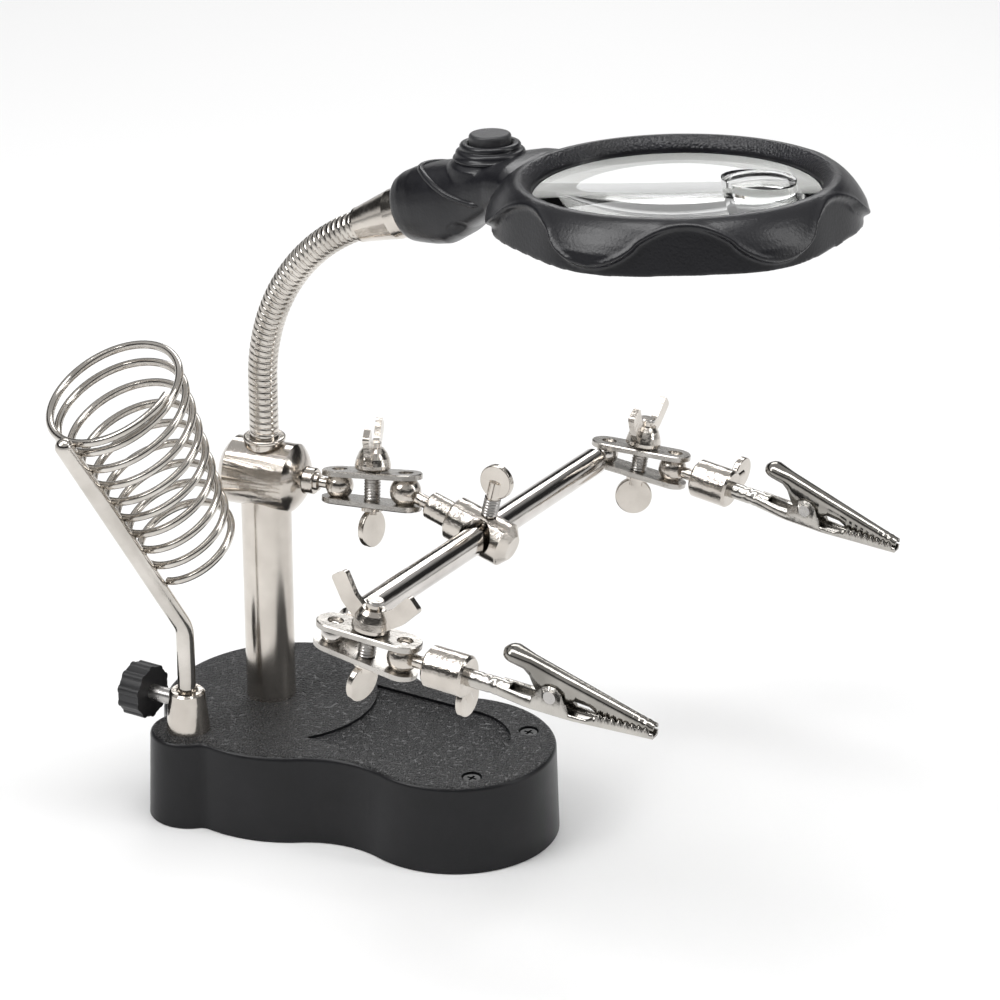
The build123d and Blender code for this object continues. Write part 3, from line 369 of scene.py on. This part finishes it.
def lathe_z(name, profile, material, matrix, steps=96):
    """Closed surface turned about local Z from (radius, z) points."""
    points = [(r * cos(a), r * sin(a), z) for r, z in profile for a in turns(steps)]
    return mesh_object(name, points, grid_faces(len(profile), steps, True), material, matrix)


def along_falling(table, x):
    """Value at x between the rows of a table that falls in x."""
    if x >= table[0][0]:
        return table[0][1]
    for (x0, v0), (x1, v1) in zip(table, table[1:]):
        if x >= x1:
            return v0 + (v1 - v0) * (x - x0) / (x1 - x0)
    return table[-1][1]


def along(table, x):
    """Value at x between the rows of a table that rises in x."""
    for (x0, v0), (x1, v1) in zip(table, table[1:]):
        if x <= x1:
            return v0 + (v1 - v0) * max(x - x0, 0.0) / (x1 - x0)
    return table[-1][1]


def smooth_step(t):
    """Eased rise from 0 to 1."""
    t = min(max(t, 0.0), 1.0)
    return t * t * (3 - 2 * t)


def apply_modifiers(o):
    """Bakes an object's modifiers into its mesh."""
    bpy.context.view_layer.update()
    evaluated = o.evaluated_get(bpy.context.evaluated_depsgraph_get())
    mesh = bpy.data.meshes.new_from_object(evaluated)
    old = o.data
    o.modifiers.clear()
    o.data = mesh
    bpy.data.meshes.remove(old)


def relax(o, rounds):
    """Adds a modifier that evens out the skin."""
    soften = o.modifiers.new("soften", "SMOOTH")
    soften.iterations = rounds
    soften.factor = 0.5


def join(objects):
    """One object of several, under the first one's name."""
    bpy.ops.object.select_all(action="DESELECT")
    for o in objects:
        o.select_set(True)
    bpy.context.view_layer.objects.active = objects[0]
    bpy.ops.object.join()
    return objects[0]


# ---------------------------------------------------------------- gooseneck
STRAIGHT = ARC_START - HOSE_BOTTOM
ARC_LENGTH = ARC_RADIUS * ARC_TURN
TUCK = 1.5
HOSE_LENGTH = STRAIGHT + ARC_LENGTH + TUCK
SIDE_PIVOT = 101.0
BENDS = 5
RIB_PITCH = 1.62
RIB_DEPTH = 0.5
RIB_CREST = HOSE_RADIUS + 0.05


def hose_frame(s):
    """Point on the hose's middle line and its outward direction at a distance along it."""
    if s < STRAIGHT:
        return Vector((0, 0, HOSE_BOTTOM + s)), Vector((1, 0, 0))
    a = (s - STRAIGHT) / ARC_RADIUS
    centre = Vector((ARC_RADIUS * (1 - cos(a)), 0, ARC_START + ARC_RADIUS * sin(a)))
    return centre, Vector((cos(a), 0, -sin(a)))


def rib(s, a):
    """Radius of the wound strip: round backs with a tight seam that climbs once a turn."""
    phase = (s / RIB_PITCH + a / (2 * pi)) % 1.0
    return RIB_CREST - RIB_DEPTH * (1 - sqrt(max(0.0, 1 - (2 * phase - 1) ** 4)))


def hose_piece(name, start, end):
    """Length of wound hose between two distances along its middle line."""
    steps, per_rib = 40, 9
    rows = int((end - start) / RIB_PITCH * per_rib) + 2
    points = []
    for i in range(rows):
        s = start + (end - start) * i / (rows - 1)
        centre, out = hose_frame(s)
        for a in turns(steps):
            points.append(centre + (out * cos(a) + Vector((0, 1, 0)) * sin(a)) * rib(s, a))
    return mesh_object(name, points, grid_faces(rows, steps), "hose_nickel")


# Each piece spans one joint of the hose
pivots = [SIDE_PIVOT - HOSE_BOTTOM]
pivots += [STRAIGHT + ARC_LENGTH * (i + 0.5) / BENDS for i in range(BENDS)]
middles = [(a + b) / 2 for a, b in zip(pivots, pivots[1:])]
cuts = [0.0, *middles, HOSE_LENGTH]
for i in range(len(pivots)):
    piece = hose_piece(f"wound_hose_{i + 1}", cuts[i], cuts[i + 1])
    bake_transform(piece)
    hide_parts(f"hose_{i + 1}")
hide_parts("hose_7")


# ---------------------------------------------------------------- magnifier head
RING_LOW = -12.0
# Outer profile of the domed rim as (z, radius) and inner profile of the lens seat as (radius, z)
DOME = [(0.0, 35.9), (-0.25, 36.8), (-0.9, 37.9), (-2.0, 39.1), (-3.4, 40.3), (-5.0, 41.4), (-7.0, 42.5),
        (-8.5, 42.9), (-10.0, 42.85), (-11.3, 42.4), (-12.0, 41.7)]
INNER = [(35.2, 0.0), (34.7, -0.5), (32.75, -2.5), (32.6, -3.4), (32.6, -8.0), (32.9, -11.2), (33.8, -12.0)]
LOBES = 6
WAVE_MIDDLE, WAVE_RISE, WAVE_FALL, WAVE_POWER = -4.6, 3.7, 5.0, 0.8
RECESS_RADIUS, RECESS_SWELL = 38.0, 1.1
EDGE_BEAD = 0.34


def wave_line(a):
    """Height of the wavy edge that divides the domed rim from the grip recesses."""
    c = cos(LOBES * a)
    swing = abs(c) ** WAVE_POWER
    return WAVE_MIDDLE + (WAVE_RISE * swing if c > 0 else -WAVE_FALL * swing)


def ring_radius(z, a):
    """Outer radius of the ring: the dome above the wavy edge, a beaded edge and the recess below."""
    dome = along_falling(DOME, z)
    below = wave_line(a) - z
    recess = RECESS_RADIUS - 0.16 * (z + 2.0) + RECESS_SWELL * (1 - cos(LOBES * a))
    edge = EDGE_BEAD * exp(-((below + 0.15) / 0.45) ** 2)
    depth = smooth_step(below - 0.2)
    return dome + (min(recess, dome) - dome) * depth + edge


def ring_mesh():
    steps, levels = 720, 64
    points = []
    for i in range(levels + 1):
        z = RING_LOW * (i / levels) ** 1.15
        for a in turns(steps):
            r = ring_radius(z, a)
            points.append((r * cos(a), r * sin(a), z))
    points += [(r * cos(a), r * sin(a), z) for r, z in reversed(INNER) for a in turns(steps)]
    rows = levels + 1 + len(INNER)
    return mesh_object("ring_form", points, grid_faces(rows, steps, True), "head_black", HEAD)


# Stations along the neck: x, top, underside, half-width and how square the section is
NECK = [
    (-36.4, 0.2, -12.0, 15.5, 2.9),
    (-38.7, 0.4, -12.0, 14.2, 2.9),
    (-44.0, -0.5, -13.0, 11.9, 2.9),
    (-50.7, -1.4, -17.4, 10.5, 2.8),
    (-53.5, -2.0, -20.0, 10.2, 2.7),
    (-57.3, -2.8, -22.3, 9.9, 2.6),
    (-61.5, -3.9, -22.9, 9.4, 2.5),
    (-65.5, -5.4, -23.1, 8.8, 2.4),
    (-68.4, -7.0, -23.3, 8.1, 2.25),
    (-70.4, -8.4, -23.4, 7.3, 2.1),
    (-71.4, -9.6, -23.2, 6.6, 2.0),
    (-71.8, -10.8, -22.2, 5.6, 2.0),
]
END_SLANT, SLANT_FROM, SLANT_OVER = 0.37, -58.0, 11.0


def neck_mesh():
    """Loft of rounded sections that swell, droop and turn square to the gooseneck."""
    steps = 72
    points = []
    for x, top, low, half, square in NECK:
        middle, tall = (top + low) / 2, (top - low) / 2
        slant = END_SLANT * smooth_step((SLANT_FROM - x) / SLANT_OVER)
        for a in turns(steps):
            c, s = cos(a), sin(a)
            y = half * abs(c) ** (2 / square) * (1 if c > 0 else -1)
            rise = tall * abs(s) ** (2 / square) * (1 if s > 0 else -1)
            points.append((x - slant * rise, y, middle + rise))
    return mesh_object("neck_form", points, capped_faces(len(NECK), steps), "head_black", HEAD)


# Low mound under the switch's collar
MOUND = [(0.1, -5.0), (10.2, -5.0), (9.8, -2.6), (9.0, -1.9), (8.2, -1.5), (7.6, -0.6), (0.1, -0.6)]
# Stepped collar round the switch: a foot bead, a waist and a rolled lip
COLLAR = [(8.0, -2.4), (8.5, -1.5), (8.75, -1.1), (8.55, -0.75), (8.15, -0.6), (8.1, 0.1), (7.95, 0.5),
          (7.6, 0.8), (7.2, 0.9), (7.0, 1.05), (7.1, 1.4), (7.1, 1.8), (6.85, 2.2), (6.4, 2.42), (5.8, 2.42),
          (5.35, 2.2), (5.12, 1.8), (5.05, -2.4)]
BUTTON = HEAD @ Matrix.Translation((BUTTON_X, 0, 0))
COARSE_VOXEL, FINE_VOXEL = 0.0007, 0.00034

mound = lathe_z("mound_form", MOUND, "head_black", BUTTON)
head = join([ring_mesh(), neck_mesh(), mound])
head.name = "head_shell"
remesh = head.modifiers.new("remesh", "REMESH")
remesh.mode = "VOXEL"
remesh.voxel_size = FINE_VOXEL
relax(head, 3)
apply_modifiers(head)

# Hollows pressed into both sides of the neck: centre and radii in the head's frame
HOLLOWS_BEHIND = -42
HOLLOWS = [((-50.9, 13.0, -18.3), (5.6, 6.3, 4.6)), ((-60.3, 8.2, -22.6), (2.0, 2.2, 2.4))]


def press_hollows(o):
    """Moves the skin that lies inside a hollow out to the hollow's surface."""
    back = HEAD.inverted()
    for v in o.data.vertices:
        p = back @ (v.co / MM)
        if p.x > HOLLOWS_BEHIND:
            continue
        side = 1 if p.y > 0 else -1
        for (x, y, z), (rx, ry, rz) in HOLLOWS:
            centre = Vector((x, side * y, z))
            away = p - centre
            reach = sqrt((away.x / rx) ** 2 + (away.y / ry) ** 2 + (away.z / rz) ** 2)
            if 0.05 < reach < 1:
                p = centre + away / reach
                v.co = (HEAD @ p) * MM


press_hollows(head)
relax(head, 2)
apply_modifiers(head)
head.data.materials.clear()
head.data.materials.append(MATS["head_black"])
head.data.polygons.foreach_set("use_smooth", [True] * len(head.data.polygons))
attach(head, "head")
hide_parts("head_housing", "head_cover")


def bead(name, path, radius, material):
    """Round bead with tapered ends along points in millimetres in the row frame."""
    steps = 10
    points = []
    for i, p in enumerate(path):
        way = (path[min(i + 1, len(path) - 1)] - path[max(i - 1, 0)]).normalized()
        side = way.orthogonal().normalized() if i == 0 else (side - way * side.dot(way)).normalized()
        up = way.cross(side)
        near_end = min(i, len(path) - 1 - i)
        r = radius * min(1.0, 0.25 + near_end / 4)
        points += [p + (side * cos(a) + up * sin(a)) * r for a in turns(steps)]
    return mesh_object(name, points, capped_faces(len(path), steps), material)


def onto_skin(rays, lift):
    """Points where rays, given in millimetres in the head's frame, first meet the head's skin."""
    tree = BVHTree.FromObject(head, bpy.context.evaluated_depsgraph_get())
    found = []
    for start, way in rays:
        direction = (HEAD.to_3x3() @ Vector(way)).normalized()
        hit, normal, _, _ = tree.ray_cast((HEAD @ Vector(start)) * MM, direction)
        if hit is not None:
            found.append(hit / MM + normal * lift)
    return found


# Raised line over the neck: place along the head and angle round from the top
RIDGE_RADIUS, RIDGE_LIFT = 0.8, -0.2
NECK_MIDDLE = -11
RIDGE = [(-66.6, 0), (-66.1, 18), (-64.7, 36), (-61.9, 53), (-58.6, 66), (-54.6, 76), (-50.0, 82),
         (-45.0, 84)]


def ridge_rays():
    """Rays inwards to the neck's middle from all along the raised line, one end to the other."""
    rays, half_count = [], 60
    for i in range(-half_count, half_count + 1):
        f = abs(i) / half_count * (len(RIDGE) - 1)
        k = min(int(f), len(RIDGE) - 2)
        (x0, a0), (x1, a1) = RIDGE[k], RIDGE[k + 1]
        x = x0 + (x1 - x0) * (f - k)
        a = radians(a0 + (a1 - a0) * (f - k)) * (1 if i > 0 else -1)
        out = Vector((0, sin(a), cos(a)))
        rays.append((Vector((x, 0, NECK_MIDDLE)) + out * 30, -out))
    return rays


def evened(points, rounds=6):
    """The same points with each drawn towards its neighbours."""
    for _ in range(rounds):
        inner = [(a + b * 2 + c) / 4 for a, b, c in zip(points, points[1:], points[2:])]
        points = [points[0], *inner, points[-1]]
    return points


ridge = bead("neck_ridge", evened(onto_skin(ridge_rays(), RIDGE_LIFT)), RIDGE_RADIUS, "head_black")
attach(ridge, "head")

collar = lathe_z("button_collar", COLLAR, "head_black", BUTTON)
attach(collar, "head")

# Pale wall just under the lens: painted light, its white stands in for the brightness seen through the glass
WALL = [(32.35, -6.0), (32.35, -12.2), (32.1, -12.4), (31.9, -12.2), (31.9, -6.0), (32.1, -5.7)]
painted_light_wall = lathe_z("lens_reflector", WALL, "painted_light_wall", HEAD)
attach(painted_light_wall, "head")

# Sloping grained band round the lens
BEZEL_BAND = [(35.5, -0.02), (34.95, -0.22), (32.72, -2.42), (32.72, -3.2), (33.4, -3.2), (35.6, -0.9)]
bezel = lathe_z("bezel", BEZEL_BAND, "bezel_black", HEAD, steps=180)
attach(bezel, "head")


# ---------------------------------------------------------------- spring clips
JOINTS = {j["name"]: j for j in frame["joints"]}
PIVOT = (21.8, 2.8)
JAW_ENDS = (8.6, 46.5)
TEETH = (32.8, 45.6)
TOOTH_PITCH = 1.6
TOOTH_DEPTH = 0.9
SHEET = 0.5
JAW_ROWS = 380
# Lower edge of the jaw's side walls, back to front, up to the teeth
SKIRT = [(8.6, 9.3), (11.4, 8.6), (14.6, 7.6), (16.0, 6.2), (17.4, 3.6), (18.6, 2.2), (20.5, 1.3),
         (25.0, 1.4), (27.4, 3.0), (31.0, 2.7), (32.8, 1.8)]


def clip_frame(side):
    """Clip's frame: X along the clip, Y along its rivet and the tail's axis at its origin."""
    x = Vector(JOINTS[f"clip_{side}_roll"]["axis"]).normalized()
    y = Vector(JOINTS[f"jaw_{side}_open"]["axis"]).normalized()
    if x.cross(y).z < 0:
        y = -y
    z = x.cross(y)
    origin = Vector(JOINTS[f"jaw_{side}_open"]["pos_m"]) / MM - x * PIVOT[0] - z * PIVOT[1]
    m = Matrix((x, y, z)).transposed().to_4x4()
    m.translation = origin
    return m


# Its back's height and slope, the roll at the thumb pad, and its half-width
BACK_TOP, BACK_FROM, BACK_SLOPE = 11.75, 10.2, 0.255
ROLL_LENGTH, ROLL_DROP, ROLL_POWER = 3.2, 1.9, 2.4
JAW_HALF = [(8.6, 3.0), (11.5, 3.0), (16.0, 2.15), (26.0, 2.0), (46.5, 1.45)]
PAD_CENTRE, PAD_RADIUS, PAD_NARROWEST = 11.6, 3.05, 0.7


def jaw_back(x):
    """Height of the jaw's back: a straight slope that rolls over at the thumb pad."""
    roll = max(0.0, 1 - (x - JAW_ENDS[0]) / ROLL_LENGTH)
    return BACK_TOP - BACK_SLOPE * (x - BACK_FROM) - ROLL_DROP * roll**ROLL_POWER


def jaw_half(x):
    """Half-width: a round thumb pad, a slim body and a narrow nose."""
    body = along(JAW_HALF, x)
    if x < PAD_CENTRE:
        return max(PAD_NARROWEST, body * sqrt(max(0.0, 1 - ((PAD_CENTRE - x) / PAD_RADIUS) ** 2)))
    return body


def toothed(outline, x, root, nose):
    """Height of a jaw's edge: its outline, then teeth from their root, then the plain nose."""
    if x < TEETH[0]:
        return along(outline, x)
    phase = (x - TEETH[0]) / TOOTH_PITCH % 1.0
    return root + TOOTH_DEPTH * (1 - abs(2 * phase - 1)) if x < TEETH[1] else nose


def upper_jaw(side):
    """Pressed channel with a crowned back; its walls end in a skirt with teeth."""
    arc = 14
    bends = [pi * (k / arc - 0.5) for k in range(arc + 1)]
    points = []
    for i in range(JAW_ROWS + 1):
        x = JAW_ENDS[0] + (JAW_ENDS[1] - JAW_ENDS[0]) * i / JAW_ROWS
        back, half, skirt = jaw_back(x), jaw_half(x), toothed(SKIRT, x, 0.95, 1.1)
        crown = min(1.7, (back - skirt) * 0.8)
        for inset in (0.0, SHEET):
            sweep = [(sin(a), back - inset - crown * (1 - cos(a))) for a in bends]
            sweep = [(-1, skirt), *sweep, (1, skirt)]
            ring = [(x, (half - inset) * y, max(z, skirt)) for y, z in sweep]
            points += reversed(ring) if inset else ring
    faces = capped_faces(JAW_ROWS + 1, 2 * (arc + 3))
    # The jaw wears the darkened copy of the clip steel, a painted dark reflection
    o = mesh_object(f"upper_jaw_{side}", points, faces, "jaw_steel_painted_reflection", clip_frame(side))
    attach(o, f"jaw_{side}")
    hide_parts(f"clip_jaw_{side}")


# Upper edge of the lower jaw's walls: tail trough, rivet ears and throat, up to the teeth
EARS = [(8.0, 1.5), (14.5, 1.2), (17.0, 1.3), (18.3, 3.2), (19.6, 4.6), (21.2, 5.2), (22.8, 5.0), (24.2, 3.9),
        (26.2, -0.4), (30.6, -0.5), (32.4, 0.7)]
# Its half-width, its floor and the radius of its bottom corners
TROUGH_HALF = [(8.0, 2.02), (15.0, 2.6), (27.0, 2.6), (46.5, 1.55)]
TROUGH_FLOOR = [(8.0, -2.04), (27.0, -1.95), (46.5, -1.05)]
TROUGH_CORNER = [(8.0, 1.9), (17.0, 0.7), (46.5, 0.6)]
TROUGH_START = 8.0
TAIL_ENDS, TAIL_RADIUS = (-8.0, 11.0), 2.05
CRIMP_DEPTH, CRIMP_START = 0.16, 1.0


def jaw_trough(side):
    """Pressed trough with rivet ears and teeth."""
    arc = 6
    bends = [pi / 2 * k / arc for k in range(arc + 1)]
    points = []
    for i in range(JAW_ROWS + 1):
        x = TROUGH_START + (JAW_ENDS[1] - TROUGH_START) * i / JAW_ROWS
        half, floor_z = along(TROUGH_HALF, x), along(TROUGH_FLOOR, x)
        edge = max(toothed(EARS, x, 0.7, 0.4), floor_z + 1.2)
        for inset in (0.0, SHEET):
            w, low = half - inset, floor_z + inset
            r = min(w - 0.05, along(TROUGH_CORNER, x))
            corner = [(x, w - r + r * cos(a), low + r - r * sin(a)) for a in bends]
            ring = [(x, w, edge), *corner]
            ring += [(x, -y, z) for _, y, z in reversed(ring)]
            points += reversed(ring) if inset else ring
    faces = capped_faces(JAW_ROWS + 1, 4 * (arc + 2))
    return mesh_object(f"lower_jaw_{side}", points, faces, "clip_steel", clip_frame(side))


def jaw_tail(side):
    """Rolled tail tube with crimp marks towards the jaw."""
    steps, rows = 40, 120
    points = []
    for inset in (0.0, SHEET):
        for i in range(rows + 1):
            way = rows - i if inset else i
            x = TAIL_ENDS[0] + (TAIL_ENDS[1] - TAIL_ENDS[0]) * way / rows
            crimp = CRIMP_DEPTH * smooth_step((x - CRIMP_START) / 3.0)
            for a in turns(steps):
                dent = crimp * (0.5 + 0.5 * sin(3.1 * x + 2 * a)) * (0.5 + 0.5 * cos(3 * a - x))
                r = TAIL_RADIUS - dent - inset
                points.append((x, r * cos(a), r * sin(a)))
    faces = grid_faces(2 * (rows + 1), steps, True)
    return mesh_object(f"tail_{side}", points, faces, "clip_steel", clip_frame(side))


def lower_jaw(side):
    """Trough and tail of the lower jaw in one piece."""
    o = join([jaw_trough(side), jaw_tail(side)])
    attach(o, f"clip_{side}")
    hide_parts(f"clip_body_{side}")


for side in SIDES:
    upper_jaw(side)
    lower_jaw(side)


# ---------------------------------------------------------------- screw threads that show
def facing(origin, normal):
    """Matrix whose Z axis is this normal, in millimetres in the row frame."""
    turn = Vector(normal).to_track_quat("Z", "Y").to_matrix().to_4x4()
    return Matrix.Translation(Vector(origin)) @ turn


THREAD_PITCH, THREAD_DEPTH, THREAD_LIFT = 0.75, 0.26, 0.02
THREAD_GAP = 0.15


def thread(name, origin, axis, start, end, radius, body):
    """Helical thread skin on a shank, between two distances along its axis."""
    steps, per_turn = 36, 8
    rows = int((end - start) / THREAD_PITCH * per_turn) + 1
    points = []
    for i in range(rows):
        z = start + (end - start) * i / (rows - 1)
        for a in turns(steps):
            phase = (z / THREAD_PITCH - a / (2 * pi)) % 1.0
            r = radius + THREAD_LIFT + THREAD_DEPTH * (1 - abs(2 * phase - 1))
            points.append((r * cos(a), r * sin(a), z))
    o = mesh_object(name, points, grid_faces(rows, steps), "screw_steel", facing(origin, axis))
    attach(o, body)


# Half the space between each link's plates
PLATE_GAPS = {"column": 2.97, "front": 2.37, "rear": 2.37}
PLATE = 1.4
NUT_HALF = 3.0
LINK_SCREW_RADIUS, LINK_SCREW_TIP = 1.85, 11.5
NUT_TOP = 8.35
CLAMP_SCREW_RADIUS, CLAMP_THREAD_HALF = 1.8, 2.2
for name, gap in PLATE_GAPS.items():
    joint = JOINTS[f"wing_nut_{name}_turn"]
    axis = Vector(joint["axis"])
    middle = Vector(joint["pos_m"]) / MM - axis * (gap + PLATE + NUT_HALF)
    inner, body = gap - THREAD_GAP, f"link_{name}"
    thread(f"link_thread_{name}", middle, axis, -inner, inner, LINK_SCREW_RADIUS, body)
    thread(f"link_tip_thread_{name}", middle, axis, gap + NUT_TOP, LINK_SCREW_TIP, LINK_SCREW_RADIUS, body)
joint = JOINTS["rod_clamp_screw_turn"]
seat = Vector(joint["pos_m"]) / MM
thread("clamp_thread", seat, joint["axis"], -CLAMP_THREAD_HALF, CLAMP_THREAD_HALF, CLAMP_SCREW_RADIUS,
       "rod_clamp_screw")


# ---------------------------------------------------------------- stage, light and camera
def stage_material(name, colour):
    m, tree, shader = new_material(name)
    vector = place(tree)
    darker = tuple(c * 0.985 for c in colour)
    tone = ramp(tree, noise(tree, vector, 3.0, 2.0), (0.3, darker), (0.7, colour))
    tree.links.new(tone, shader.inputs["Base Color"])
    shader.inputs["Roughness"].default_value = 0.9
    return m


FLOOR_HALF = 6.0
FLOOR_DROP = 0.0002
corners = [(x * FLOOR_HALF, y * FLOOR_HALF, 0) for x, y in ((-1, -1), (1, -1), (1, 1), (-1, 1))]
floor_mesh = bpy.data.meshes.new("floor")
floor_mesh.from_pydata(corners, [], [(0, 1, 2, 3)])
floor = bpy.data.objects.new("floor", floor_mesh)
floor.location.z = -FLOOR_DROP
floor_mesh.materials.append(stage_material("pale_floor", (0.93, 0.93, 0.93)))
bpy.context.scene.collection.objects.link(floor)

TARGET = Vector((59.57, 13.19, 84.38)) * MM


def aim(name, data, azimuth, elevation, distance):
    """Puts a camera or light round the target, in degrees and metres, and faces it inwards."""
    o = bpy.data.objects.new(name, data)
    a, e = radians(azimuth), radians(elevation)
    way = Vector((sin(a) * cos(e), -cos(a) * cos(e), sin(e)))
    o.location = TARGET + way * distance
    o.rotation_euler = (-way).to_track_quat("-Z", "Y").to_euler()
    bpy.context.scene.collection.objects.link(o)
    return o


camera_data = bpy.data.cameras.new("camera")
camera_data.lens = 133.2
camera_data.sensor_width = 36.0
camera_data.clip_start = 0.01
AZIMUTH, ELEVATION, DISTANCE = 30.09, 23.78, 0.9
bpy.context.scene.camera = aim("camera", camera_data, AZIMUTH, ELEVATION, DISTANCE)


def area(name, azimuth, elevation, distance, size, power):
    """White rectangular softbox."""
    data = bpy.data.lights.new(name, "AREA")
    data.shape = "RECTANGLE"
    data.size, data.size_y = size
    data.energy = power
    aim(name, data, azimuth, elevation, distance)


area("key", -35, 48, 1.2, (0.5, 0.7), 6.0)
area("side", 105, 30, 1.1, (0.25, 0.8), 2.4)
area("top", 20, 86, 1.1, (0.8, 0.4), 5.5)
area("back", 205, 35, 1.2, (0.7, 0.4), 3.0)

# Studio round the object: level bands of grey, by height from straight down (0) to straight up (1)
BANDS = [(0.0, 0.05), (0.48, 0.3), (0.52, 0.9), (0.57, 0.6), (0.60, 0.03), (0.74, 0.03), (0.8, 0.65),
         (1.0, 0.5)]
world = bpy.data.worlds.new("studio")
world.use_nodes = True
bpy.context.scene.world = world
studio = world.node_tree
background = studio.nodes["Background"]
sky = add(studio, "ShaderNodeTexCoord")
up = add(studio, "ShaderNodeSeparateXYZ")
studio.links.new(sky.outputs["Generated"], up.inputs["Vector"])
height = add(studio, "ShaderNodeMapRange")
height.inputs["From Min"].default_value = -1.0
studio.links.new(up.outputs["Z"], height.inputs["Value"])
grey = ramp(studio, height.outputs["Result"], *[(level, (tone, tone, tone)) for level, tone in BANDS])
studio.links.new(grey, background.inputs["Color"])
background.inputs["Strength"].default_value = 0.9

bpy.context.scene.view_settings.view_transform = "Standard"
